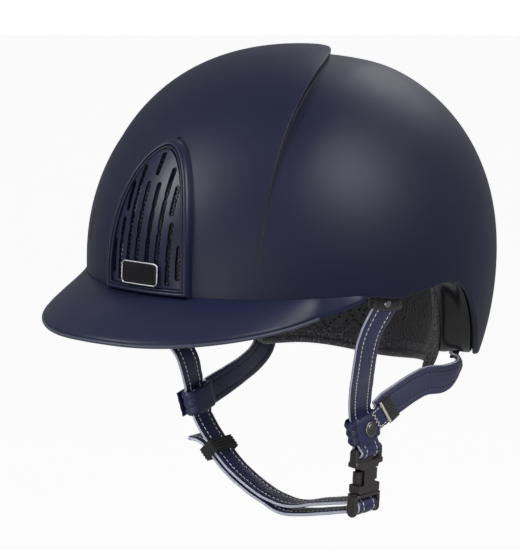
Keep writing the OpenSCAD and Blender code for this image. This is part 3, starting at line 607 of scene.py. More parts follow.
def dome_point(phi, t, inset=0.0, crown_inset=None):
    crown_inset = inset if crown_inset is None else crown_inset
    phi, t = np.broadcast_arrays(np.asarray(phi, float), np.asarray(t, float))
    k = dome_k(t)
    return np.stack([
        (HALF_W - inset) * k * np.sin(np.radians(phi)),
        -(HALF_L - inset) * k * np.cos(np.radians(phi)),
        WIDEST_Z + dome_rise(t, inset, crown_inset),
    ], -1)


def dome_normal(p):
    p = np.asarray(p, float)
    tall = np.where(p[..., 2] < WIDEST_Z, UNDER_DEPTH, CROWN_H)
    return unit(np.stack([
        p[..., 0] / HALF_W ** 2, p[..., 1] / HALF_L ** 2, (p[..., 2] - WIDEST_Z) / tall ** 2], -1))


def t_of_z(z, inset=0.0, crown_inset=None):
    crown_inset = inset if crown_inset is None else crown_inset
    z = np.asarray(z, float)
    low = 90 + np.degrees(np.arcsin(np.clip((WIDEST_Z - z) / (UNDER_DEPTH - inset), -1, 1)))
    share = np.clip((z - WIDEST_Z) / (CROWN_H - crown_inset), 0, 1)
    return np.where(z <= WIDEST_Z, low, np.degrees(np.arccos(share ** (POWER / 2))))


def layer(phi, z, inset):
    """A point of an inner layer at a height, as deep as the frame puts it."""
    return dome_point(phi, t_of_z(z, inset, inset + RIDGE_DIP), inset, inset + RIDGE_DIP)


def front_point(x, z, proud):
    x, z, proud = np.broadcast_arrays(*(np.asarray(v, float) for v in (x, z, proud)))
    rise = (z - WIDEST_Z) / np.where(z < WIDEST_Z, UNDER_DEPTH + proud, CROWN_H + proud)
    k = np.where(z < WIDEST_Z, np.sqrt(np.maximum(0, 1 - rise ** 2)),
                 np.maximum(0, 1 - np.maximum(rise, 0) ** POWER) ** (1 / POWER))
    side = x / (HALF_W + proud)
    return np.stack([x, -(HALF_L + proud) * np.sqrt(np.maximum(0, k ** 2 - side ** 2)), z], -1)


def plan_angle(phi):
    phi = np.radians(phi)
    return np.abs(np.degrees(np.arctan2(HALF_W * np.sin(phi), HALF_L * np.cos(phi))))


def phi_of(angle):
    return math.degrees(math.atan2(HALF_L * math.sin(math.radians(angle)),
                                   HALF_W * math.cos(math.radians(angle))))


def hump(x):
    return np.maximum(0, 1 - x * x) ** 2


def rim_z(phi):
    a = plan_angle(phi)
    return (-NAPE_DROP * smooth_step((a - EAR_ANGLE) / EAR_RUN)
            - 2.5 * MM * hump((a - 70) / 9) + 1.7 * MM * hump((a - 88) / 8))


def ridge_fade(z):
    return smooth_step((z - RIDGE_FOOT_Z) / (WIDEST_Z + CROWN_H - RIDGE_FOOT_Z))


def ridge_offset(p, in_front):
    s = RIDGE_BACK - RIDGE_SWEEP * (p[..., 0] / MM) ** 2 - p[..., 1] / MM
    height = RIDGE_RISE * np.exp(-(s / 60) ** 2) if in_front else -RIDGE_DIP * np.exp(-(s / 42) ** 2)
    return ridge_fade(p[..., 2]) * height


# ---- Shell ---------------------------------------------------------------------------


def ridge_samples():
    """phi and t of evenly spaced points down one side of the ridge, from its rearmost point."""
    x = np.linspace(0, 72, 4000)
    y = RIDGE_BACK - RIDGE_SWEEP * x ** 2
    k = np.hypot(x * MM / HALF_W, y * MM / HALF_L)
    keep = k < 0.9985
    x, y, k = x[keep], y[keep], k[keep]
    phi = np.degrees(np.arctan2(x * MM / HALF_W, -y * MM / HALF_L))
    t = np.degrees(np.arcsin(np.clip(k ** (POWER / 2), 0, 1)))
    line = dome_point(phi, t)
    _, (pair,), _ = resample(line, [np.stack([phi, t], 1)], 2.2 * MM)
    return pair[:, 0], pair[:, 1]


RIM_PROFILE = [(0, 0), (0.25, -0.4), (0.9, -0.75), (1.9, -0.75), (2.6, -0.4), (2.9, 0.2), (3, 4), (3, 12)]


def shell_patches():
    """Grids in front of and behind the ridge whose edges meet on it."""
    front_n, rear_n = 96, 120
    ridge_phi, ridge_t = ridge_samples()
    top = np.linspace(0.02, ridge_t[0], 9)[:-1]
    low_start = ridge_t[-1]
    front, rear = [], []
    lines = [(t, 180.0, False) for t in top]
    lines += [(t, p, True) for t, p in zip(ridge_t, ridge_phi)]
    edge = []

    def span(lip, in_front):
        if in_front:
            return np.linspace(-lip, lip, front_n + 1)
        return np.linspace(lip, 360 - lip, rear_n + 1)

    for t, lip, split in lines:
        phi = span(lip, True)
        base = dome_point(phi, t)
        front.append(base + dome_normal(base) * ridge_offset(base, True)[:, None])
        if split:
            phi = span(lip, False)
            base = dome_point(phi, t)
            rear.append(base + dome_normal(base) * ridge_offset(base, False)[:, None])
            edge.append(dome_point(lip, t))
    foot_lip = ridge_phi[-1]
    down = np.linspace(0, 1, 22)[1:]
    for phi, patch in ((span(foot_lip, True), front), (span(foot_lip, False), rear)):
        end = t_of_z(rim_z(phi))
        for f in down:
            patch.append(dome_point(phi, low_start + (end - low_start) * f))
        for inset, lift in RIM_PROFILE[1:]:
            patch.append(layer_at(phi, rim_z(phi) + lift * MM, inset * MM))
    return front, rear, np.array(edge)


def layer_at(phi, z, inset):
    return dome_point(phi, t_of_z(z, inset), inset)


def arch_inside(p, grow):
    """Whether a point of the front lies inside the vent's arch."""
    half, high, foot = VENT_HALF + grow, VENT_H + grow, VENT_FOOT - grow
    z = (p.z - foot) / high
    return p.y < 0 and 0 < z < 1 and abs(p.x) < half * arch_width(z)


def make_shell():
    front, rear, edge = shell_patches()
    points, faces = [], []
    for patch in (front, rear):
        grid = np.array(patch)
        first = len(points)
        points.extend(grid.reshape(-1, 3))
        faces.extend(grid_faces(grid.shape[0], grid.shape[1], first=first))
    first = len(points)
    pole = np.array([0, 0, WIDEST_Z + CROWN_H])
    points.append(pole + [0, 0, float(ridge_offset(pole, True))])
    columns = np.array(front).shape[1]
    faces.extend((first, j, j + 1) for j in range(columns - 1))
    shell = make_object("shell_skin", points, faces, [M["shell"]])
    with editing(shell) as b:
        inside = [f for f in b.faces if arch_inside(f.calc_center_median(), -2.2 * MM)]
        bmesh.ops.delete(b, geom=inside, context="FACES")
    clean(shell, 2e-5)
    lip = [make_lip(edge, side) for side in (1, -1)]
    shell = join("shell_skin", [shell, *lip])
    place(shell, "helmet", ["outer_shell"])
    for side, word in ((1, "left"), (-1, "right")):
        # Dark tubes along the foot of each side of the ridge's lip: painted shade for the groove under the
        # overhang.
        line, n, across, fade = ridge_line(edge, side)
        path = line + across * 0.75 * MM * np.sqrt(fade) - n * (RIDGE_DIP * fade + 0.22 * MM)
        radius = 0.58 * MM * np.clip(np.arange(len(line))[::-1] / 4, 0.1, 1)
        groove = tube(f"ridge_groove_shade_{word}", path, radius, M["tape"], 8)
        place(groove, "helmet")


def ridge_line(edge, side):
    """The ridge down one side: its points, their normals and rearward directions, and its share of height."""
    line = edge * [side, 1, 1]
    n = dome_normal(line)
    across = unit(np.cross(n, unit(np.gradient(line, axis=0)))) * side
    return line, n, across, ridge_fade(line[:, 2])[:, None]


def make_lip(edge, side):
    """The rounded, overhanging edge of the front panel."""
    line, n, across, fade = ridge_line(edge, side)
    size = np.sqrt(fade)
    profile = [(0, 0), (0.25, -0.03), (0.5, -0.16), (0.68, -0.4), (0.72, -0.8), (0.6, -5.6)]
    grid = np.array([
        line + across * e * MM * size + n * (RIDGE_RISE * fade + h * MM * (size if h > -5 else fade))
        for e, h in profile])
    return make_object("lip", grid.reshape(-1, 3), grid_faces(*grid.shape[:2]), [M["shell"]])


# ---- Peak ----------------------------------------------------------------------------

PEAK_SIDE = 51.5
PEAK_END = 62.5
PEAK_REACH = 44 * MM
PEAK_DROP = 17.9 * MM


def peak_point(phi, v, down):
    phi, v, down = np.broadcast_arrays(*(np.asarray(a, float) for a in (phi, v, down)))
    reach = np.where(np.abs(phi) >= PEAK_SIDE, 1.6 * MM,
                     np.maximum(1.6 * MM, PEAK_REACH * np.cos(np.radians(90 * phi / PEAK_SIDE))))
    f = np.minimum(1, np.abs(phi) / PEAK_END)
    edge_z = (1.6 * MM * f - PEAK_DROP * np.maximum(0, np.cos(np.radians(90 * f))) ** 0.65
              + 1.5 * MM * np.exp(-(phi / 10) ** 2))
    root = 0.3 * MM
    out = root + (reach - root) * v
    root_z = 1 * MM
    z = root_z + (edge_z - root_z) * v + 12 * MM * v * (1 - v) * reach / PEAK_REACH
    phi = np.radians(phi)
    return np.stack([(HALF_W + out) * np.sin(phi), -(HALF_L + out) * np.cos(phi), z - down], -1)


def make_peak():
    phi = np.linspace(-PEAK_END, PEAK_END, 180)
    profile = [(v, 0) for v in np.linspace(0, 0.96, 24)]
    profile += [(0.985, 0.12), (0.998, 0.5), (1.0, 1.1), (1.0, 1.9), (0.998, 2.5), (0.985, 2.88)]
    profile += [(v, 3) for v in np.linspace(0.96, 0, 16)]
    grid = np.array([peak_point(phi, v, d * MM) for v, d in profile])
    faces = bar_faces(*grid.shape[:2])
    peak = clean(make_object("peak_shell", grid.reshape(-1, 3), faces, [M["peak"]]))
    place(shade_by_angle(peak, 50), "helmet", ["peak"])

    phi = np.linspace(-PEAK_SIDE + 2, PEAK_SIDE - 2, 160)
    edge = peak_point(phi, 1.0, 2.1 * MM)
    out = unit(edge * [1, 1, 0])
    # The bead's lighter colour is a painted highlight along the peak's edge.
    bead = tube("peak_edge", edge + out * 0.5 * MM, 0.95 * MM, M["peak_edge"], 12)
    place(bead, "helmet", ["peak_edge_bead"])

    phi = np.linspace(-PEAK_SIDE + 6, PEAK_SIDE - 6, 120)
    profile = [(0.12, 3.35), (0.14, 3.2), (0.5, 3.12), (0.9, 3.2), (0.93, 3.35), (0.93, 4.1),
               (0.9, 4.35), (0.5, 4.45), (0.16, 4.35), (0.12, 4.1)]
    grid = np.array([peak_point(phi, v, d * MM) for v, d in profile])
    faces = bar_faces(*grid.shape[:2])
    lining = clean(make_object("peak_cloth", grid.reshape(-1, 3), faces, [M["lining"]]))
    modify(lining, "SUBSURF", levels=1, render_levels=1)
    place(lining, "helmet", ["peak_lining"])


# ---- Front vent ----------------------------------------------------------------------

vent_low, vent_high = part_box("vent_frame")
VENT_HALF = vent_high.x
VENT_FOOT = vent_low.z
VENT_H = vent_high.z - vent_low.z
BORDER = 4.6 * MM
SILL = 4 * MM
SLOTS = [(3.6, 18, 61), (10, 18, 69), (15.4, 44, 60), (16.8, 7, 41), (22.4, 10, 29)]
TOP_SLOT = (0, 64, 76)
SLOT_W = 3.0
ARCH_TOP_POWER = 2.5
ARCH_SIDE_POWER = 1.8

badge_low, badge_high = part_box("badge_plate")
BADGE_Z = (badge_low.z + badge_high.z) / 2


def arch_width(share):
    """The arch's half width at a share of its height, as a share of its widest."""
    return (1 - share ** ARCH_TOP_POWER) ** (1 / ARCH_SIDE_POWER)


def arch_at(q, half, high):
    c, s = np.cos(q), np.maximum(0, np.sin(q))
    return np.stack([half * np.sign(c) * np.abs(c) ** (2 / ARCH_SIDE_POWER),
                     VENT_FOOT + high * s ** (2 / ARCH_TOP_POWER)], -1)


def frame_loop():
    """Outer and inner outlines of the vent frame, over the arch and back along the sill."""
    n, m = 120, 40
    turn = np.linspace(0, 1, n)
    q = math.pi * (turn - 0.12 * np.sin(2 * math.pi * turn) * 0.5)
    outer = arch_at(q, VENT_HALF, VENT_H)
    inner = arch_at(q, VENT_HALF - BORDER, VENT_H - BORDER)
    inner[:, 1] = np.maximum(inner[:, 1], VENT_FOOT + SILL)
    f = np.linspace(-1, 1, m)[1:-1]
    low_outer = np.stack([VENT_HALF * f, np.full_like(f, VENT_FOOT)], -1)
    low_inner = np.stack([(VENT_HALF - BORDER) * f, np.full_like(f, VENT_FOOT + SILL)], -1)
    return np.concatenate([outer, low_outer]), np.concatenate([inner, low_inner])


def make_vent_frame():
    outer, inner = frame_loop()
    profile = [
        (0.0, -3.4), (0.0, 2.2), (0.01, 3.4), (0.06, 4.2), (0.14, 4.75), (0.25, 5.0), (0.4, 5.0),
        (0.52, 4.7), (0.58, 4.2), (0.62, 3.9), (0.67, 4.0), (0.72, 4.25), (0.80, 4.3), (0.88, 4.1),
        (0.95, 3.5), (1.0, 2.8), (1.0, -3.4),
    ]
    grid = []
    for s, proud in profile:
        p = outer + (inner - outer) * s
        grid.append(front_point(p[:, 0], p[:, 1], proud * MM))
    grid = np.array(grid)
    faces = grid_faces(*grid.shape[:2], wrap_columns=True)
    obj = clean(make_object("vent_surround", grid.reshape(-1, 3), faces, [M["vent"]]))
    place(shade_by_angle(obj, 55), "helmet", ["vent_frame"])


def slot_outline(x, low, high):
    """A slot with a narrower waist at each third, in the stepped pattern of the grille."""
    half = SLOT_W / 2
    waist = 0.72
    length = high - low
    steps = [(0.0, 1.0), (0.30, 1.0), (0.31, waist), (0.36, waist), (0.37, 1.0), (0.66, 1.0),
             (0.67, waist), (0.72, waist), (0.73, 1.0), (1.0, 1.0)]
    if length < 25:
        steps = [(0.0, 1.0), (1.0, 1.0)]
    right = []
    for f, w in steps:
        z = low + half + (length - 2 * half) * f
        right.append((x + half * w, z))
    cap = [(x + half * math.cos(a), high - half + half * math.sin(a))
           for a in np.linspace(0, math.pi, 9)[1:-1]]
    left = [(2 * x - px, z) for px, z in reversed(right)]
    foot = [(x - half * math.cos(a), low + half - half * math.sin(a))
            for a in np.linspace(0, math.pi, 9)[1:-1]]
    return right + cap + left + foot


def cutter(outlines):
    points, faces = [], []
    for outline in outlines:
        n = len(outline)
        first = len(points)
        for y in (-0.16, -0.02):
            points += [(x * MM, y, z * MM) for x, z in outline]
        faces.append(tuple(first + k for k in range(n)))
        faces.append(tuple(first + n + k for k in reversed(range(n))))
        faces += [(first + k, first + n + k, first + n + (k + 1) % n, first + (k + 1) % n)
                  for k in range(n)]
    return clean(make_object("cutter", points, faces, []), 1e-7)


def make_grille():
    rows, columns = 56, 48
    margin = 0.25 * MM
    half_w = VENT_HALF - BORDER - margin
    high = VENT_H - BORDER - margin
    z0, z1 = VENT_FOOT + SILL + margin, VENT_FOOT + high * 0.994
    z = z0 + (z1 - z0) * np.sin(np.linspace(0, math.pi / 2, rows))
    half = half_w * arch_width(np.maximum(0, (z - VENT_FOOT) / high))
    f = np.linspace(-1, 1, columns)
    x = half[:, None] * f
    bulge = 1.8 * MM * (1 - (x / half_w) ** 2)
    top = front_point(x, z[:, None], 2.6 * MM + bulge)
    low = front_point(x, z[:, None], 0.9 * MM + bulge)
    points = np.concatenate([top.reshape(-1, 3), low.reshape(-1, 3)])
    plate = clean(make_object("vent_slats", points, slab_faces(rows, columns), [M["vent"]]), 1e-7)
    outlines = [slot_outline(side * x, a, b) for x, a, b in SLOTS for side in (-1, 1)]
    outlines.append(slot_outline(*TOP_SLOT))
    knife = cutter(outlines)
    modify(plate, "BOOLEAN", object=knife, operation="DIFFERENCE", solver="EXACT")
    apply_modifiers(plate)
    bpy.data.objects.remove(knife)
    shade_by_angle(plate, 40)
    modify(plate, "BEVEL", width=0.35 * MM, segments=2, limit_method="ANGLE",
           angle_limit=math.radians(50), harden_normals=False)
    place(plate, "helmet", ["vent_grille"])


def make_wire_mesh():
    """Black wires woven on the diagonal behind the slots."""
    points, faces = [], []
    pitch = 1.7 * MM
    r = 0.27 * MM
    half_w = VENT_HALF - BORDER - 0.6 * MM
    high = VENT_H - BORDER - 0.6 * MM
    for slope in (1, -1):
        for k in range(-60, 61):
            u = np.arange(-60, 61) * 0.85 * MM
            x = k * pitch / math.sqrt(2) + u / math.sqrt(2)
            z = VENT_FOOT + 0.04 + slope * (-k * pitch / math.sqrt(2) + u / math.sqrt(2))
            share = np.clip((z - VENT_FOOT) / high, 0, 1)
            ok = ((z > VENT_FOOT + SILL) & (z < VENT_FOOT + high * 0.985)
                  & (np.abs(x) < half_w * arch_width(share)))
            if ok.sum() < 4:
                continue
            weave = 0.22 * MM * np.sin(math.pi * (u / pitch + k) + (0 if slope > 0 else math.pi))
            proud = -1.7 * MM + 1.2 * MM * (1 - (x / half_w) ** 2) + weave
            add_tube(points, faces, front_point(x[ok], z[ok], proud[ok]), r, 4)
    wires = make_object("wire_mesh", points, faces, [M["wire"]])
    place(wires, "helmet", ["vent_mesh"])


def rounded_rect(w, h, r, n=8):
    out = []
    for cx, cz, start in ((w / 2 - r, h / 2 - r, 0), (r - w / 2, h / 2 - r, 90),
                          (r - w / 2, r - h / 2, 180), (w / 2 - r, r - h / 2, 270)):
        for a in np.radians(start + np.linspace(0, 90, n)):
            out.append((cx + r * math.cos(a), cz + r * math.sin(a)))
    return np.array(out)


def badge_layer(w, h, r, heights, name, material):
    """A pillow on the front of the vent: (scale, proud) rings from the foot to the middle."""
    rings = []
    for scale, proud in heights:
        o = rounded_rect(w - scale, h - scale, max(0.3 * MM, r - scale / 2))
        rings.append(front_point(o[:, 0], o[:, 1] + BADGE_Z, proud))
    n = len(rings[0])
    points = np.concatenate(rings)
    middle = front_point(0, BADGE_Z, heights[-1][1])
    points = np.concatenate([points, middle[None]])
    faces = grid_faces(len(rings), n, wrap_columns=True)
    last = (len(rings) - 1) * n
    faces += [(last + k, last + (k + 1) % n, len(points) - 1) for k in range(n)]
    return clean(make_object(name, points, faces, [material]))


def make_badge():
    w, h = badge_high.x - badge_low.x, badge_high.z - badge_low.z
    plate = badge_layer(w, h, 2 * MM, [
        (0.0, 4.8 * MM), (0.0, 6.1 * MM), (0.5 * MM, 6.4 * MM), (1.6 * MM, 6.4 * MM),
        (2.2 * MM, 6.15 * MM), (4.5 * MM, 6.15 * MM)], "badge_face", M["badge"])
    place(plate, "helmet", ["badge_plate"])
    o = rounded_rect(w + 0.9 * MM, h + 0.9 * MM, 2.4 * MM, 12)
    rim = tube("badge_edge", front_point(o[:, 0], o[:, 1] + BADGE_Z, 6.1 * MM), 0.4 * MM,
               M["silver"], 8, closed=True)
    place(rim, "helmet", ["badge_rim"])


# ---- Inner layers --------------------------------------------------------------------


def make_rim_frame():
    """The glossy black edge between shell and padding."""
    phi = np.linspace(0, 360, 361)[:-1]
    inner = LINER_INSET + LINER_T + 0.6 * MM
    start = LINER_INSET + 0.3 * MM
    rings = []
    profile = [(0, 1.2), (0.02, 0.5), (0.06, 0.25), (0.2, 0.3), (0.34, 0.65), (0.5, 0.8), (0.66, 0.5),
               (0.82, 0.2), (0.94, 0.25), (0.98, 0.6), (1, 1.2), (1, 2.6), (0, 2.6)]
    for f, lift in profile:
        rings.append(layer(phi, rim_z(phi) + lift * MM, start + (inner - start) * f))
    grid = np.array(rings)
    obj = clean(make_object("gloss_rim", grid.reshape(-1, 3),
                            grid_faces(len(rings), len(phi), True, True), [M["gloss"]]))
    place(shade_by_angle(obj, 60), "helmet", ["rim_frame"])


NAPE_PAD_DROP = 13 * MM
PAD_SPLIT = 101


def pad_edge_z(phi):
    a = plan_angle(phi)
    return (3 * MM - (NAPE_DROP + NAPE_PAD_DROP - 2 * MM) * smooth_step((a - EAR_ANGLE - 5) / (EAR_RUN - 3))
            - 5 * MM * smooth_step((a - 140) / 40))


def pad_top_z(phi):
    return 44 * MM - 6 * MM * smooth_step((plan_angle(phi) - 60) / 60)


def closed_pad(name, outer, inner):
    points = np.concatenate([outer.reshape(-1, 3), inner.reshape(-1, 3)])
    return clean(make_object(name, points, slab_faces(*outer.shape[:2]), [M["heather"]]), 1e-6)


PAD_VOXEL = 2.2 * MM
PAD_SWELL = 1.6 * MM
PAD_PRESSURE = 4.0
PAD_FRAMES = 16


def inflate(obj):
    """Fills the pad by cloth simulation, then keeps every point within the swell."""
    modify(obj, "REMESH", mode="VOXEL", voxel_size=PAD_VOXEL, use_smooth_shade=True)
    apply_modifiers(obj)
    rest = points_of(obj)
    cloth = modify(obj, "CLOTH")
    s = cloth.settings
    s.use_pressure = True
    s.uniform_pressure_force = PAD_PRESSURE
    s.effector_weights.gravity = 0
    s.quality = 5
    s.mass = 0.3
    s.tension_stiffness = 30
    s.compression_stiffness = 30
    s.bending_stiffness = 0.8
    scene = bpy.context.scene
    for f in range(1, PAD_FRAMES + 1):
        scene.frame_set(f)
    apply_modifiers(obj)
    scene.frame_set(1)
    move = points_of(obj) - rest
    size = np.linalg.norm(move, axis=1, keepdims=True)
    move_points(obj, rest + move * np.minimum(1, PAD_SWELL / np.maximum(size, 1e-9)))
    modify(obj, "SMOOTH", iterations=4, factor=0.5)
    modify(obj, "SUBSURF", levels=1, render_levels=1)
    apply_modifiers(obj)
    smooth_all(obj.data)
    return obj


def reach_edge(pad):
    """Draws the pad's lower part down to its sewn edge, which the simulation pulls up."""
    co = points_of(pad)
    phi = pad_phi(co) % 360
    above = co[:, 2] - pad_edge_z(phi)
    bins = np.arange(0, 361, 4)
    lowest = np.full(len(bins), np.nan)
    for k, b in enumerate(bins):
        near = np.abs((phi - b + 180) % 360 - 180) < 5
        if near.sum() > 6:
            lowest[k] = above[near].min() + 1.6 * MM
    known = ~np.isnan(lowest)
    gap = np.clip(np.interp(phi, bins[known], lowest[known], period=360), 0, 9 * MM)
    co[:, 2] -= gap * smooth_step(1 - (above - gap) / (16 * MM))
    move_points(pad, co)


def press_seams(obj, depth_of):
    """Moves points towards the shell where seams and channels hold the padding down."""
    co = points_of(obj)
    move_points(obj, co + dome_normal(co) * depth_of(co)[:, None])


def make_padding():
    split = phi_of(PAD_SPLIT)
    shrink = 0.5 * MM
    for name, a, b, node in (("brow_pad", -split, split, "head_band"),
                             ("nape_pad_soft", split + 0.8, 359.2 - split, "nape_pad")):
        phi = np.linspace(a + 0.4, b - 0.4, 100)
        low, high = pad_edge_z(phi), pad_top_z(phi)
        rows = np.linspace(0, 1, 26)[:, None]

        def grid(inset, margin):
            z = high - margin + (low + margin - high + margin) * rows
            return layer(phi[None, :] + 0 * rows, z, inset)

        pad = closed_pad(name, grid(PAD_INSET + shrink, shrink), grid(PAD_INSET + PAD_T - shrink, 1.2 * MM))
        inflate(pad)
        reach_edge(pad)
        channel_pads(pad)
        pad.data.materials.append(M["mesh_cloth"])
        for p in pad.data.polygons:
            p.material_index = 1 if is_mesh_cloth(p.center) else 0
        place(pad, "helmet", [node])
    crown_rows = np.linspace(0.02, 1, 16)[:, None]
    phi = np.linspace(0, 360, 73)[:-1]
    top = dome_point(phi[None, :], 38 * crown_rows, PAD_INSET + shrink, PAD_INSET + shrink + RIDGE_DIP)
    low = dome_point(phi[None, :], 38 * crown_rows, PAD_INSET + PAD_T - shrink,
                     PAD_INSET + PAD_T - shrink + RIDGE_DIP)
    pad = crown_disc("crown_pad_soft", top, low)
    inflate(pad)
    press_seams(pad, lambda p: 1.3 * MM * crown_channels(p))
    place(pad, "helmet", ["crown_pad"])


def crown_channels(p):
    r = np.hypot(p[:, 0] / 0.8, p[:, 1])
    ring = np.exp(-((r - 0.030) / (1.3 * MM)) ** 2)
    inner = p[:, 2] < WIDEST_Z + CROWN_H - PAD_INSET - RIDGE_DIP - 2 * MM
    return np.where(inner, ring, 0)


def crown_disc(name, top, low):
    rows, columns = top.shape[:2]
    n = rows * columns
    middles = [top[0].mean(0)[None], low[0].mean(0)[None]]
    points = np.concatenate([top.reshape(-1, 3), low.reshape(-1, 3), *middles])
    faces = grid_faces(rows, columns, True) + grid_faces(rows, columns, True, first=n, flip=True)
    faces += [(2 * n, j, (j + 1) % columns) for j in range(columns)]
    faces += [(2 * n + 1, n + (j + 1) % columns, n + j) for j in range(columns)]
    last = (rows - 1) * columns
    faces += [(last + j, n + last + j, n + last + (j + 1) % columns, last + (j + 1) % columns)
              for j in range(columns)]
    return clean(make_object(name, points, faces, [M["mesh_cloth"]]), 1e-6)


def pad_phi(p):
    return np.degrees(np.arctan2(p[:, 0] / HALF_W, -p[:, 1] / HALF_L))


def inner_side(p):
    """1 on the pads' face towards the head, 0 on the face towards the shell."""
    middle = layer(pad_phi(p), p[:, 2], PAD_INSET + PAD_T / 2)
    return smooth_step((np.linalg.norm(middle[:, :2], axis=1) - np.linalg.norm(p[:, :2], axis=1))
                       / (1.2 * MM) + 0.3)


def channel_pads(pad):
    def depth(p):
        phi = pad_phi(p)
        seam = np.exp(-((p[:, 2] - pad_edge_z(phi) - 6.5 * MM) / (0.9 * MM)) ** 2)
        columns = np.exp(-(((plan_angle(phi) + 7) % 24 - 12) / 0.9) ** 2) * smooth_step(
            (p[:, 2] - pad_edge_z(phi) - 12 * MM) / (6 * MM))
        return (1.1 * MM * seam + 0.9 * MM * columns) * inner_side(p)

    press_seams(pad, depth)


def is_mesh_cloth(centre):
    """Whether a face belongs to the open textile at the rear, above the seam."""
    p = np.array([centre])
    phi = pad_phi(p)
    above_seam = centre.z > pad_edge_z(phi)[0] + 7 * MM
    rear = plan_angle(phi)[0] > 118
    inside = inner_side(p)[0] > 0.8
    return inside and above_seam and rear


def make_piping():
    split = phi_of(PAD_SPLIT) + 3
    phi = np.linspace(split, 360 - split, 220)
    line = layer(phi, pad_edge_z(phi) - 1.1 * MM, PAD_INSET + PAD_T / 2)
    cord = tube("nape_edge_piping", line, 2.1 * MM, M["heather"], 12)
    place(cord, "helmet", ["nape_piping"])
    points, faces = [], []
    for a, b in ((split + 2, 358 - split), (-split + 2, split - 2)):
        phi = np.linspace(a, b, 400)
        line = layer(phi, pad_edge_z(phi) + 6.5 * MM, PAD_INSET + PAD_T - 1.1 * MM)
        add_stitches(points, faces, line, -dome_normal(line), 3.4 * MM, 2.2 * MM, 0.28 * MM)
    seam = make_object("padding_stitches", points, faces, [M["thread_black"]])
    place(seam, "helmet")


# ---- Stitches ------------------------------------------------------------------------


def add_stitches(points, faces, line, normal, pitch, length, radius, sides=5):
    """Short capsules laid end to end along a line, dipping into the cloth at their ends."""
    even, (up,), at = resample(line, [np.asarray(normal)], pitch)
    t = unit(np.gradient(even, axis=0))
    for i in range(len(even)):
        half = t[i] * length / 2
        dip = up[i] * radius * 1.3
        a, b = even[i] - half, even[i] + half
        path = np.array([a - dip, a + half * 0.25 + dip * 0.2, even[i] + dip * 0.45,
                         b - half * 0.25 + dip * 0.2, b - dip])
        add_tube(points, faces, path, radius * np.array([0.5, 0.95, 1.1, 0.95, 0.5]), sides)


def add_zigzag(points, faces, start, end, normal, width_dir, width, count, radius):
    start, end = np.asarray(start, float), np.asarray(end, float)
    n, w = unit(normal), unit(width_dir)
    for i in range(count):
        a = start + (end - start) * i / count + w * (width / 2 if i % 2 else -width / 2)
        b = start + (end - start) * (i + 1) / count + w * (-width / 2 if i % 2 else width / 2)
        path = np.array([a - n * radius, a * 0.8 + b * 0.2 + n * radius * 0.5, (a + b) / 2 + n * radius * 0.6,
                         a * 0.2 + b * 0.8 + n * radius * 0.5, b - n * radius])
        add_tube(points, faces, path, radius, 5)


# ---- Straps --------------------------------------------------------------------------

# Across the strap: place from -1 to 1, and height of the face over the flat section.
# Two rows of stitching pull the leather down, and it swells between them.
STRAP_FACE = [(-0.955, -0.30), (-0.90, -0.05), (-0.80, 0.10), (-0.70, 0.16), (-0.60, 0.06), (-0.545, -0.16),
              (-0.49, 0.06), (-0.35, 0.20), (0.0, 0.26), (0.35, 0.20), (0.49, 0.06), (0.545, -0.16),
              (0.60, 0.06), (0.70, 0.16), (0.80, 0.10), (0.90, -0.05), (0.955, -0.30)]
STITCH_ROWS = (-0.545, 0.545)


def strap_frames(stops, spacing=1.6 * MM):
    line = spline([s[0] for s in stops], 14) * MM
    turn = spline([s[1] for s in stops], 14)
    line, (turn,), _ = resample(line, [turn], spacing)
    d = unit(np.gradient(line, axis=0))
    across = unit(turn - d * np.sum(turn * d, 1, keepdims=True))
    return line, across, np.cross(d, across)


def make_strap(name, stops, node, thread_mat, leather_mat="leather"):
    """A stitched leather run through the stops, each a place and the direction across the strap."""
    line, across, up = strap_frames(stops)
    half_w, half_t = STRAP_W / 2, STRAP_T / 2 - 0.2 * MM
    ring = [(x * half_w, half_t + h * MM) for x, h in STRAP_FACE]
    ring += [(half_w * 0.995, half_t - 0.75 * MM), (half_w, 0), (half_w * 0.995, 0.75 * MM - half_t)]
    ring += [(x * half_w, -half_t - h * MM) for x, h in reversed(STRAP_FACE)]
    ring += [(-half_w * 0.995, 0.75 * MM - half_t), (-half_w, 0), (-half_w * 0.995, half_t - 0.75 * MM)]
    rings = np.array([line + across * a + up * b for a, b in ring]).transpose(1, 0, 2)
    wobble = np.sin(np.arange(len(line)) * 0.7)[:, None, None] * 0.05 * MM
    rings = rings + up[:, None, :] * wobble
    rows, columns = rings.shape[:2]
    faces = grid_faces(rows, columns, wrap_columns=True)
    k = len(STRAP_FACE)
    # The sides and ends take the pale edge colour, a painted highlight.
    edge_columns = set(range(k - 1, k + 3)) | set(range(2 * k + 2, 2 * k + 6))
    slots = [1 if j in edge_columns else 0 for _ in range(rows - 1) for j in range(columns)]
    faces += [tuple(range(columns))[::-1], tuple((rows - 1) * columns + j for j in range(columns))]
    slots += [1, 1]
    strap = make_object(name, rings.reshape(-1, 3), faces, [M[leather_mat], M["painted_edge_highlight"]], slots=slots)
    with editing(strap) as b:
        bmesh.ops.recalc_face_normals(b, faces=b.faces)
    points, stitch_faces = [], []
    for side in (1, -1):
        for row in STITCH_ROWS:
            path = line + across * row * half_w + up * side * (half_t - 0.06 * MM)
            add_stitches(points, stitch_faces, path, up * side, 3.0 * MM, 2.25 * MM, 0.25 * MM)
    stitches = make_object(name + "_stitches", points, stitch_faces, [M[thread_mat]])
    place(strap, "helmet", [node])
    place(stitches, "helmet")
    return strap, stitches


def rotation(turn):
    x, y, z = (math.radians(v) for v in turn)
    return np.array((Matrix.Rotation(z, 3, "Z") @ Matrix.Rotation(y, 3, "Y") @ Matrix.Rotation(x, 3, "X")))


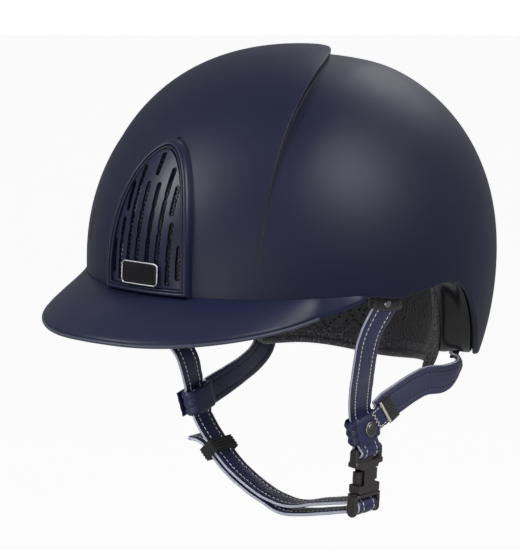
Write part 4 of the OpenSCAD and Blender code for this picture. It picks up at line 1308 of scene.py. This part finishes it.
class LoopPlace:
    """Where a leather loop hangs, how it is turned, and which side its outer face is on."""

    def __init__(self, side, pos, turn, tab_turn):
        self.side = side
        self.pos = np.array(pos, float)
        self.turn = rotation(turn)
        self.tab = rotation(tab_turn)

    def at(self, local):
        return (self.pos + np.asarray(local, float) @ self.turn.T) * MM

    def tab_at(self, local):
        return self.at(np.asarray(local, float) @ self.tab.T)

    def direction(self, local):
        return np.asarray(local, float) @ self.turn.T

    def tab_direction(self, local):
        return self.direction(np.asarray(local, float) @ self.tab.T)


LEFT_LOOP = LoopPlace(1, (61, -15, -85.5), (12, -6, -4), (18, 0, -10))
RIGHT_LOOP = LoopPlace(-1, (-60, -14, -85.5), (10, -10, 3), (-3, 0, 8))
LOOP_IN_W = 19.0
LOOP_IN_T = 2 * THICK_MM + 1.2
LOOP_WALL = 2.0
LOOP_H = 14.5


def lane(loop, side, heights):
    return [(loop.at((side * (THICK_MM / 2 + 0.15), 0, z)) / MM, loop.direction((0, 1, 0))) for z in heights]


def tab_lane(loop):
    x = loop.side * (LOOP_IN_T / 2 - THICK_MM / 2 - 0.7)
    return [(loop.tab_at((x, y, 0)) / MM, loop.tab_direction((0, 0, 1))) for y in (13.4, 17.5, 22)]


def rim_point(angle, side, inset, down):
    phi = phi_of(angle)
    p = layer(phi, rim_z(phi) - down * MM, inset)
    return np.array([side * p[0], p[1], p[2]]) / MM


FRONT_ANCHOR = 67
REAR_ANCHOR = 131
FRONT_INSET = SHELL_T + 3.4 * MM
REAR_INSET = LINER_INSET + LINER_T - 8 * MM
BUCKLE_POS = np.array([62, -12.3, -98.5])
BUCKLE_LEAN = math.radians(3.5)
WRAP_R = 1.6 + THICK_MM / 2 + 0.25


def buckle_point(x, y, z):
    c, s = math.cos(BUCKLE_LEAN), math.sin(BUCKLE_LEAN)
    return BUCKLE_POS + [x * c + z * s, y, z * c - x * s]


BODY_TOP = -5.4
BODY_END = BODY_TOP - 18.5
TONGUE_TOP = BODY_END - 0.4
TONGUE_BAR_Z = TONGUE_TOP - 3.5 - WRAP_R - THICK_MM / 2


def round_bar(angle, bar_z):
    """Where the middle of a strap runs as it turns round a bar of the buckle."""
    a = math.radians(angle)
    return buckle_point(WRAP_R * math.cos(a), 0, bar_z + WRAP_R * math.sin(a))


def make_straps():
    y = (0, 1, 0)
    left = [(rim_point(FRONT_ANCHOR, 1, FRONT_INSET, 6), (0.3, 0.95, 0)), ((88, -44, -25), (0.2, 1, 0)),
            ((79, -38, -46), (0.1, 1, 0)), ((67.5, -25.5, -65), (0.1, 1, 0.1)),
            ((62.2, -18.7, -75), (0.1, 1, 0.2))]
    left += lane(LEFT_LOOP, 1, (7, 0, -7))
    left += [(round_bar(a, 0), y) for a in (15, -20, -55, -90, -125, -160, -195)]
    left += lane(LEFT_LOOP, -1, (-6, 4))
    make_strap("front_strap_left_leather", left, "front_strap_left", "thread_white")
    right = [(rim_point(FRONT_ANCHOR, -1, FRONT_INSET, 6), (-0.2, 0.95, 0)), ((-80, -40, -28), (-0.1, 1, 0)),
             ((-62, -26, -54), (0, 1, 0)), ((-61.3, -17.4, -73), (-0.05, 1, 0.2))]
    right += lane(RIGHT_LOOP, -1, (7, 3, -1))
    make_strap("front_strap_right_leather", right, "front_strap_right", "thread_white")
    up = (0, 0, 1)
    rear = tab_lane(LEFT_LOOP) + [((70, 29, -65.5), up), ((73.5, 45, -65.5), (0.1, -0.1, 1)),
                             ((74.5, 55, -63), (0.35, -0.5, 0.8)), ((73.5, 60.5, -58.5), (0.5, -0.8, 0.3)),
                             (rim_point(REAR_ANCHOR, 1, REAR_INSET, 3), (0.6, -0.8, 0))]
    make_strap("rear_strap_left_leather", rear, "rear_strap_left", "thread_dark", "leather_pale")
    rear = tab_lane(RIGHT_LOOP) + [((-65.5, 30, -77.5), up), ((-68, 49, -72), (-0.1, -0.1, 1)),
                                   ((-71, 60, -66), (-0.35, -0.5, 0.8)), ((-72, 62, -60), (-0.5, -0.8, 0.3)),
                                   (rim_point(REAR_ANCHOR, -1, REAR_INSET, 3), (-0.6, -0.8, 0))]
    make_strap("rear_strap_right_leather", rear, "rear_strap_right", "thread_dark",
               "leather_pale")


CHIN = [(-57.2, -14, -94.5), (-51.6, -14, -102.4), (-43.2, -14, -111.6), (-33.4, -14, -120.4),
        (-21, -14, -128), (-5, -14, -134.8), (13, -14, -137.2), (32.5, -13.5, -132.8)]
LAYER_STEP = THICK_MM + 0.5
KEEPER_STOP = 2


def below(i, step):
    d = unit(np.array(CHIN[i + 1]) - np.array(CHIN[i - 1]))
    return np.array(CHIN[i]) + step * unit(np.cross((0, 1, 0), d))


def make_chin_strap():
    y = (0, 1, 0)
    upper = lane(RIGHT_LOOP, 1, (6, 0, -5.5)) + [(p, y) for p in CHIN]
    upper += [(round_bar(a, TONGUE_BAR_Z), y) for a in (115, 80, 45, 10, -25, -60, -95)]
    lower = [(round_bar(-128, TONGUE_BAR_Z), y), (below(6, LAYER_STEP + 1.6), y)]
    lower += [(below(i, LAYER_STEP), y) for i in range(5, KEEPER_STOP - 1, -1)]
    lower += [(p, y) for p in ((-50, -14, -110), (-55.4, -14, -108.3), (-61, -14, -108.2))]
    for name, stops, node in (("chin_strap_leather", upper, "chin_strap"),
                              ("chin_strap_return_leather", lower, "chin_strap_return")):
        for piece in make_strap(name, stops, node, "thread_white"):
            stretch_with_tongue(piece)


def stretch_with_tongue(piece):
    """Takes the strap off the helmet's body, with its placement baked into its points."""
    piece.parent = None
    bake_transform(piece)


# ---- Anchors, loops and studs --------------------------------------------------------


def make_anchors():
    for side, word in ((1, "left"), (-1, "right")):
        make_tab(f"front_tab_{word}", FRONT_ANCHOR, side, FRONT_INSET - 2.2 * MM, 5.6, 8.4, 4.4,
                 f"front_anchor_{word}")
        make_tab(f"rear_tab_{word}", REAR_ANCHOR, side, REAR_INSET - 2 * MM, 4, 4.2, 4, f"rear_anchor_{word}")


def make_tab(name, angle, side, inset, half, depth, t, node):
    """A folded cloth tab that hangs from the rim and holds a strap's end."""
    spread = np.linspace(-1, 1, 25)
    rings = []
    section = [(0.0, 0.0), (0.0, 0.86), (0.12, 0.97), (0.5, 1.0), (0.88, 0.97), (1.0, 0.86), (1.0, 0.0)]
    for f, down in section:
        rings.append([rim_point(angle + half * s, side, inset + t * MM * (f * 0.94 + 0.03),
                                depth * down * (1 - 0.06 * abs(s) ** 6)) for s in spread])
    grid = np.array(rings) * MM
    tab = clean(make_object(name, grid.reshape(-1, 3), bar_faces(*grid.shape[:2]), [M["tape"]]))
    modify(tab, "BEVEL", width=0.5 * MM, segments=2, limit_method="ANGLE", angle_limit=math.radians(50))
    place(tab, "helmet", [node])
    points, stitch_faces = [], []
    for edge in (-0.8, 0.8):
        a = rim_point(angle + half * edge, side, inset, depth * 0.12) * MM
        b = rim_point(angle + half * edge, side, inset, depth * 0.82) * MM
        n = dome_normal(a)
        add_zigzag(points, stitch_faces, a, b, n, np.cross(n, b - a), 2.2 * MM, 6, 0.28 * MM)
    stitches = make_object(name + "_zigzag", points, stitch_faces, [M["thread_black"]])
    place(stitches, "helmet")


def stadium_outline(w, t, n=40):
    """Points round a stadium that is long in Y, as (x, y, outward x, outward y)."""
    r = t / 2
    out = []
    for i in range(n):
        a = math.pi * i / (n - 1)
        out.append((r * math.cos(a), w / 2 - r + r * math.sin(a), math.cos(a), math.sin(a)))
    for i in range(n):
        a = math.pi + math.pi * i / (n - 1)
        out.append((r * math.cos(a), r - w / 2 + r * math.sin(a), math.cos(a), math.sin(a)))
    return np.array(out)


def make_loop(loop, word):
    """A leather sleeve with three soft pleats on its front edge, and a tab behind it."""
    wall = LOOP_WALL
    outline = stadium_outline(LOOP_IN_W + 2 * wall, LOOP_IN_T + 2 * wall)
    levels = np.linspace(-1, 1, 33)
    rings = []
    front = np.clip((-outline[:, 1] - 6.5) / 3.5, 0, 1)
    for u, outside in [(u, True) for u in levels] + [(u, False) for u in levels[::-1]]:
        z = u * LOOP_H / 2
        edge = 0.55 * (abs(u) ** 14)
        if outside:
            pleat = -0.75 * front * (0.5 + 0.5 * math.cos(3 * math.pi * (u + 1)))
            depth = -edge + pleat
        else:
            depth = -(wall - 0.05) + edge * 0.8
        x = outline[:, 0] + outline[:, 2] * depth
        y = outline[:, 1] + outline[:, 3] * depth
        rings.append(np.stack([x, y, np.full_like(x, z)], 1))
    grid = np.array(rings)
    world = loop.at(grid.reshape(-1, 3))
    body = clean(make_object("sleeve", world, grid_faces(*grid.shape[:2], True, True), [M["leather"]]))
    tab = leather_plate("tab", loop.tab_at, loop.side * (LOOP_IN_T / 2 + wall / 2), wall - 0.2,
                        5.5, 22, 6.0)
    sleeve = join(f"loop_{word}_leather", [body, tab])
    place(shade_by_angle(sleeve, 50), "helmet", [f"strap_loop_{word}"])
    points, faces = [], []
    out = loop.side
    x = out * (LOOP_IN_T / 2 + wall)
    a, b = loop.tab_at((x, 7.6, -5.4)), loop.tab_at((x, 7.6, 5.4))
    add_zigzag(points, faces, a, b, loop.tab_direction((out, 0, 0)), loop.tab_direction((0, 1, 0)),
               2.0 * MM, 9, 0.24 * MM)
    for z in (-4.9, 4.9):
        line = np.array([loop.tab_at((x - out * 0.12, y, z)) for y in np.linspace(9.5, 21.5, 12)])
        add_stitches(points, faces, line, np.tile(loop.tab_direction((out, 0, 0)), (12, 1)),
                     2.6 * MM, 1.9 * MM, 0.22 * MM)
    place(make_object(f"loop_{word}_stitches", points, faces, [M["thread_white"]]), "helmet")


def leather_plate(name, put, x, t, y0, y1, half_h, material="leather", bow=0.0):
    """A soft-edged strip in a loop's own frame."""
    rows, columns = 22, 14
    points = []
    for face in (1, -1):
        for v in np.linspace(-1, 1, rows):
            for u in np.linspace(-1, 1, columns):
                round_off = 0.45 * max(abs(v) ** 10, abs(u) ** 8)
                px = x + face * (t / 2) * (1 - round_off) + bow * (1 - v * v)
                points.append(put((px, y0 + (y1 - y0) * (v + 1) / 2, u * half_h)))
    return clean(make_object(name, points, slab_faces(rows, columns), [M[material]]), 1e-7)


FLAP_T = 1.6
FLAP_FACE = LOOP_IN_T / 2 + LOOP_WALL + 0.35
FLAP_FRONT = -(LOOP_IN_W / 2 + LOOP_WALL)
FLAP_L = 13.4
STUD_Y = -1


def make_flap(loop, word):
    """The strip that the press stud closes, pleated where it folds round the front."""
    rows, columns = 30, 33
    side = loop.side
    points = []
    for face in (1, 0):
        for v in np.linspace(0, 1, rows):
            for u in np.linspace(-1, 1, columns):
                y = FLAP_FRONT + 1 + FLAP_L * v
                fold = max(0, 1 - v / 0.22) ** 2
                pleat = 0.30 * fold * (1 - math.cos(3 * math.pi * (u + 1))) / 2
                edge = 0.4 * max(abs(u) ** 12, v ** 24, (1 - v) ** 30)
                x = FLAP_FACE + (FLAP_T - edge - pleat - 0.25 * fold if face else edge * 0.6)
                points.append(loop.at((side * x, y, u * LOOP_H / 2)))
    faces = slab_faces(rows, columns)
    flap = clean(make_object(f"flap_{word}_leather", points, faces, [M["leather"]]), 1e-7)
    place(shade_by_angle(flap, 60), f"flap_{word}", [f"loop_flap_{word}"])
    points, faces = [], []
    x = side * (FLAP_FACE + FLAP_T)
    out = loop.direction((side, 0, 0))
    y = FLAP_FRONT + FLAP_L - 0.4
    add_zigzag(points, faces, loop.at((x, y, -6.4)), loop.at((x, y, 6.4)), out, loop.direction((0, 1, 0)),
               1.8 * MM, 11, 0.24 * MM)
    for z in (-6.1, 6.1):
        line = np.array([loop.at((x - side * 0.06, v, z)) for v in np.linspace(-7.5, 2.2, 10)])
        add_stitches(points, faces, line, np.tile(out, (10, 1)), 2.4 * MM, 1.8 * MM, 0.2 * MM)
    place(make_object(f"flap_{word}_stitches", points, faces, [M["thread_dark"]]), f"flap_{word}")
    stud(f"stud_{word}_dome", loop, side * (FLAP_FACE + FLAP_T + 0.05), f"flap_{word}", f"stud_cap_{word}")


def lathe(name, profile, put, material, steps=56):
    rings = []
    for i in range(steps):
        a = 2 * math.pi * i / steps
        rings.append([put((h, r * math.cos(a), r * math.sin(a))) for r, h in profile])
    grid = np.array(rings)
    return clean(make_object(name, grid.reshape(-1, 3), grid_faces(*grid.shape[:2], False, True), [material]))


def stud(name, loop, x, body, node):
    profile = [(0, 1.5), (1.2, 1.48), (2.2, 1.36), (2.9, 1.1), (3.15, 0.92), (3.4, 0.95), (3.8, 1.12),
               (4.2, 1.05), (4.5, 0.7), (4.6, 0.3), (4.5, 0.02), (0, 0)]
    side = loop.side
    put = lambda p: loop.at((x + side * p[0], STUD_Y + p[1], p[2]))
    place(shade_by_angle(lathe(name, profile, put, M["steel"]), 40), body, [node])


def make_label():
    """A blank cloth label folded round the tab, with a pale band along its front edge."""
    x = LOOP_IN_T / 2 + LOOP_WALL + 0.55
    dark = leather_plate("dark", LEFT_LOOP.tab_at, x, 0.85, 15.6, 22.4, LOOP_H / 2 - 0.1, "label", 0.1)
    band = leather_plate("band", LEFT_LOOP.tab_at, x, 0.85, 14.1, 15.6, LOOP_H / 2 - 0.1, "label_band")
    label = join("label_blank", [dark, band])
    place(label, "helmet", ["blank_label"])


# ---- Buckle and keeper ---------------------------------------------------------------


def put_buckle(p):
    return tuple(buckle_point(*p) * MM)


def both(v):
    return -v, v


def block(x, y, z):
    """A box in the buckle's frame, between a low and a high value each way."""
    points = [put_buckle((a, b, c)) for a in x for b in y for c in z]
    faces = [(0, 1, 3, 2), (4, 6, 7, 5), (0, 4, 5, 1), (2, 3, 7, 6), (0, 2, 6, 4), (1, 5, 7, 3)]
    return make_object("block", points, faces, [])


def rod(a, b, r, sides=32):
    a, b = np.asarray(a, float), np.asarray(b, float)
    d = unit(b - a)
    side = unit(np.cross(d, (0.31, 0.17, 0.93)))
    up = np.cross(d, side)
    ring = lambda c: [put_buckle(c + r * (math.cos(t) * side + math.sin(t) * up))
                      for t in np.arange(sides) / sides * 2 * math.pi]
    points = ring(a) + ring(b)
    faces = [(k, (k + 1) % sides, sides + (k + 1) % sides, sides + k) for k in range(sides)]
    faces += [tuple(range(sides))[::-1], tuple(range(sides, 2 * sides))]
    return make_object("rod", points, faces, [])


def pin(y, z, r):
    """A rod across the buckle."""
    return rod((0, y[0], z), (0, y[1], z), r)


def moulded(name, solids, cuts, material, voxel=0.32 * MM, soften=7):
    """Runs solids together and cuts others away, then rounds all edges as a mould would."""
    for o in solids + cuts:
        clean(o, 1e-7)
    first = solids[0]
    for other, operation in [(o, "UNION") for o in solids[1:]] + [(o, "DIFFERENCE") for o in cuts]:
        modify(first, "BOOLEAN", object=other, operation=operation, solver="EXACT")
        apply_modifiers(first)
        bpy.data.objects.remove(other)
    modify(first, "REMESH", mode="VOXEL", voxel_size=voxel, use_smooth_shade=True)
    modify(first, "SMOOTH", iterations=soften, factor=0.5)
    apply_modifiers(first)
    first.name = name
    first.data.materials.append(material)
    smooth_all(first.data)
    return first


BUCKLE_W = 18.0
BUCKLE_T = 8.4
EAR_Y = (WIDE_MM + 2.4 + 2.3) / 2
CHEEK_Y = (WIDE_MM + 1.4 + 2.2) / 2
CAVITY_W = BUCKLE_W - 3.2
CAVITY_T = BUCKLE_T - 3.2
PRONG_T = CAVITY_T - 0.8
PAD_LOW = BODY_END + 5.5
PAD_HIGH = BODY_END + 13


def make_buckle():
    half_t, half_w = BUCKLE_T / 2, BUCKLE_W / 2
    solids = [
        block(both(half_t), both(half_w), (BODY_END, BODY_END + 6.2)),
        block(both(half_t - 0.4), both(half_w - 1.2), (BODY_END + 5, BODY_TOP)),
        block(both(half_t - 0.5), both(EAR_Y + 0.8), (BODY_TOP - 3, BODY_TOP)),
        pin(both(EAR_Y + 1), 0, 1.6),
    ]
    cuts = [block(both(CAVITY_T / 2), both(CAVITY_W / 2), (BODY_END - 1, BODY_END + 15))]
    for s in (-1, 1):
        y = (s * EAR_Y - 1.1, s * EAR_Y + 1.1)
        solids += [pin(y, 0, 2.6), block(both(2.6), y, (BODY_TOP - 3, 0))]
        y = sorted((s * (CAVITY_W / 2 - 2.6), s * (half_w + 3)))
        cuts.append(block(both(half_t + 1), y, (PAD_LOW - 0.8, PAD_HIGH + 0.8)))
    body = moulded("buckle_socket", solids, cuts, M["buckle"])
    place(body, "helmet", ["buckle_body"])

    solids = [
        block(both(half_t), both(half_w + 0.7), (TONGUE_TOP - 2.2, TONGUE_TOP)),
        block(both(PRONG_T / 2), both(1.5), (TONGUE_TOP - 1, TONGUE_TOP + 12.5)),
        pin(both(CHEEK_Y + 1), TONGUE_BAR_Z, 1.6),
    ]
    for s in (-1, 1):
        y = (s * CHEEK_Y - 1.0, s * CHEEK_Y + 1.0)
        solids += [block(both(3.3), y, (TONGUE_BAR_Z - 2, TONGUE_TOP - 1)), pin(y, TONGUE_BAR_Z - 2, 3.3)]
    tongue = moulded("buckle_plug", solids, [], M["buckle"])
    place(tongue, "tongue", ["buckle_tongue"])
    for s, word in ((-1, "front"), (1, "rear")):
        make_prong(s, word)


def make_prong(s, word):
    """A sprung arm with a ribbed button on its outer side."""
    out = CAVITY_W / 2 - 0.4
    arm = sorted((s * (out - 2.1), s * out))
    button = sorted((s * (out - 1.8), s * (out + 1.75)))
    solids = [
        block(both(PRONG_T / 2), arm, (TONGUE_TOP + 0.35, PAD_HIGH - 1)),
        block(both(PRONG_T / 2), button, (PAD_LOW + 0.4, PAD_HIGH - 0.4)),
    ]
    groove_y = s * (out + 2.15)
    cuts = [rod((-4, groove_y, z), (4, groove_y, z), 0.6, 12) for z in PAD_LOW + 2 + 1.8 * np.arange(3)]
    prong = moulded(f"buckle_button_{word}", solids, cuts, M["buckle"], 0.22 * MM, 2)
    place(prong, f"prong_{word}", [f"buckle_prong_{word}"])


def make_keeper():
    """A ribbed rubber band round both runs of the chin strap."""
    d = unit(np.array(CHIN[KEEPER_STOP + 1]) - np.array(CHIN[KEEPER_STOP - 1]))
    middle = below(KEEPER_STOP, LAYER_STEP / 2)
    side = np.cross((0, 1, 0), d)
    inner_t, inner_w = THICK_MM + LAYER_STEP + 1.8, WIDE_MM + 1.8
    outline = rounded_rect(inner_t + 3.2, inner_w + 3.2, 2.2, 12)
    inside = rounded_rect(inner_t, inner_w, 0.9, 12)
    outward = unit(outline - outline.mean(0))
    y = np.array((0, 1, 0))
    levels = np.linspace(-1, 1, 49)
    ribs = [0.28 * math.cos(4 * math.pi * u) - 0.4 * abs(u) ** 20 for u in levels]
    sections = [(u, outline + outward * (rib - 0.1)) for u, rib in zip(levels, ribs)]
    sections += [(u, inside) for u in levels[::-1]]
    rings = [[middle + side * a + y * b + d * u * 3.9 for a, b in section] for u, section in sections]
    grid = np.array(rings) * MM
    band = clean(make_object("keeper_band", grid.reshape(-1, 3), grid_faces(*grid.shape[:2], True, True),
                             [M["rubber"]]))
    place(shade_by_angle(band, 60), "keeper", ["strap_keeper"])


# ---- CAD pieces that keep their shape ------------------------------------------------

KEPT = {"impact_liner": "foam", "vent_screws": "wire", "anchor_rivets": "steel",
        "stud_post_left": "steel", "stud_post_right": "steel", "hook_and_loop_patches": "tape"}


def finish_kept():
    """Gives the CAD pieces that stay visible their materials."""
    for node, material in KEPT.items():
        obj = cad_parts[node]
        obj.data.materials.clear()
        obj.data.materials.append(M[material])


# ---- Stage ---------------------------------------------------------------------------


FLOOR_DROP = 1.6
FLOOR_HALF = 40
FLOOR_GLOW = 0.62
WORLD_LIGHT = 0.36


def make_stage():
    """A white floor well below the helmet, and a world that lights it less than the camera sees."""
    corners = [(x * FLOOR_HALF, y * FLOOR_HALF, cad_box[0][2] - FLOOR_DROP)
               for x, y in ((-1, -1), (1, -1), (1, 1), (-1, 1))]
    floor = make_object("floor", corners, [(0, 1, 2, 3)], [paper("floor_paper")])
    world = bpy.data.worlds.new("studio")
    bpy.context.scene.world = world
    world.use_nodes = True
    nodes, links = world.node_tree.nodes, world.node_tree.links
    background = nodes["Background"]
    background.inputs["Color"].default_value = (1, 1, 1, 1)
    strength = nodes.new("ShaderNodeMapRange")
    strength.inputs["To Min"].default_value = WORLD_LIGHT
    strength.inputs["To Max"].default_value = 1.0
    links.new(nodes.new("ShaderNodeLightPath").outputs["Is Camera Ray"], strength.inputs["Value"])
    links.new(strength.outputs["Result"], background.inputs["Strength"])


def paper(name):
    s = Shader(name, (0.93, 0.93, 0.93), 0.9, specular=0.1)
    s.tint(s.noise(3, 3), (0.96, 0.96, 0.96), 0.5)
    s.raise_by(s.noise(300, 3), 0.2)
    s.surface.inputs["Emission Color"].default_value = (1, 1, 1, 1)
    seen = s.nodes.new("ShaderNodeLightPath").outputs["Is Camera Ray"]
    s.links.new(s.math("MULTIPLY", seen, FLOOR_GLOW), s.surface.inputs["Emission Strength"])
    return s.done(0.05, 0.1 * MM)


def area_light(name, azimuth, elevation, distance, size, power, aim=(0, 0, 0.02)):
    light = bpy.data.lights.new(name, "AREA")
    light.shape = "RECTANGLE"
    light.size, light.size_y = size
    light.energy = power
    obj = bpy.data.objects.new(name, light)
    bpy.context.scene.collection.objects.link(obj)
    a, e = math.radians(azimuth), math.radians(elevation)
    direction = Vector((math.sin(a) * math.cos(e), -math.cos(a) * math.cos(e), math.sin(e)))
    obj.location = Vector(aim) + direction * distance
    obj.rotation_euler = direction.to_track_quat("Z", "Y").to_euler()


def make_lights():
    area_light("key_left", -22, 36, 1.3, (0.45, 0.6), 14)
    area_light("key_right", 96, 40, 1.3, (0.45, 0.7), 15)
    area_light("front_fill", 35, 2, 1.8, (0.9, 0.9), 4)
    area_light("harness_strip", 8, -4, 0.9, (0.06, 0.5), 2.2, (0.05, -0.02, -0.10))
    area_light("rear_rim", 190, 35, 1.5, (0.8, 0.5), 5)


make_shell()
make_peak()
make_vent_frame()
make_grille()
make_wire_mesh()
make_badge()
make_rim_frame()
make_padding()
make_piping()
make_straps()
make_chin_strap()
make_anchors()
for loop_place, side_word in ((LEFT_LOOP, "left"), (RIGHT_LOOP, "right")):
    make_loop(loop_place, side_word)
    make_flap(loop_place, side_word)
make_label()
make_buckle()
make_keeper()
finish_kept()
make_stage()
make_lights()
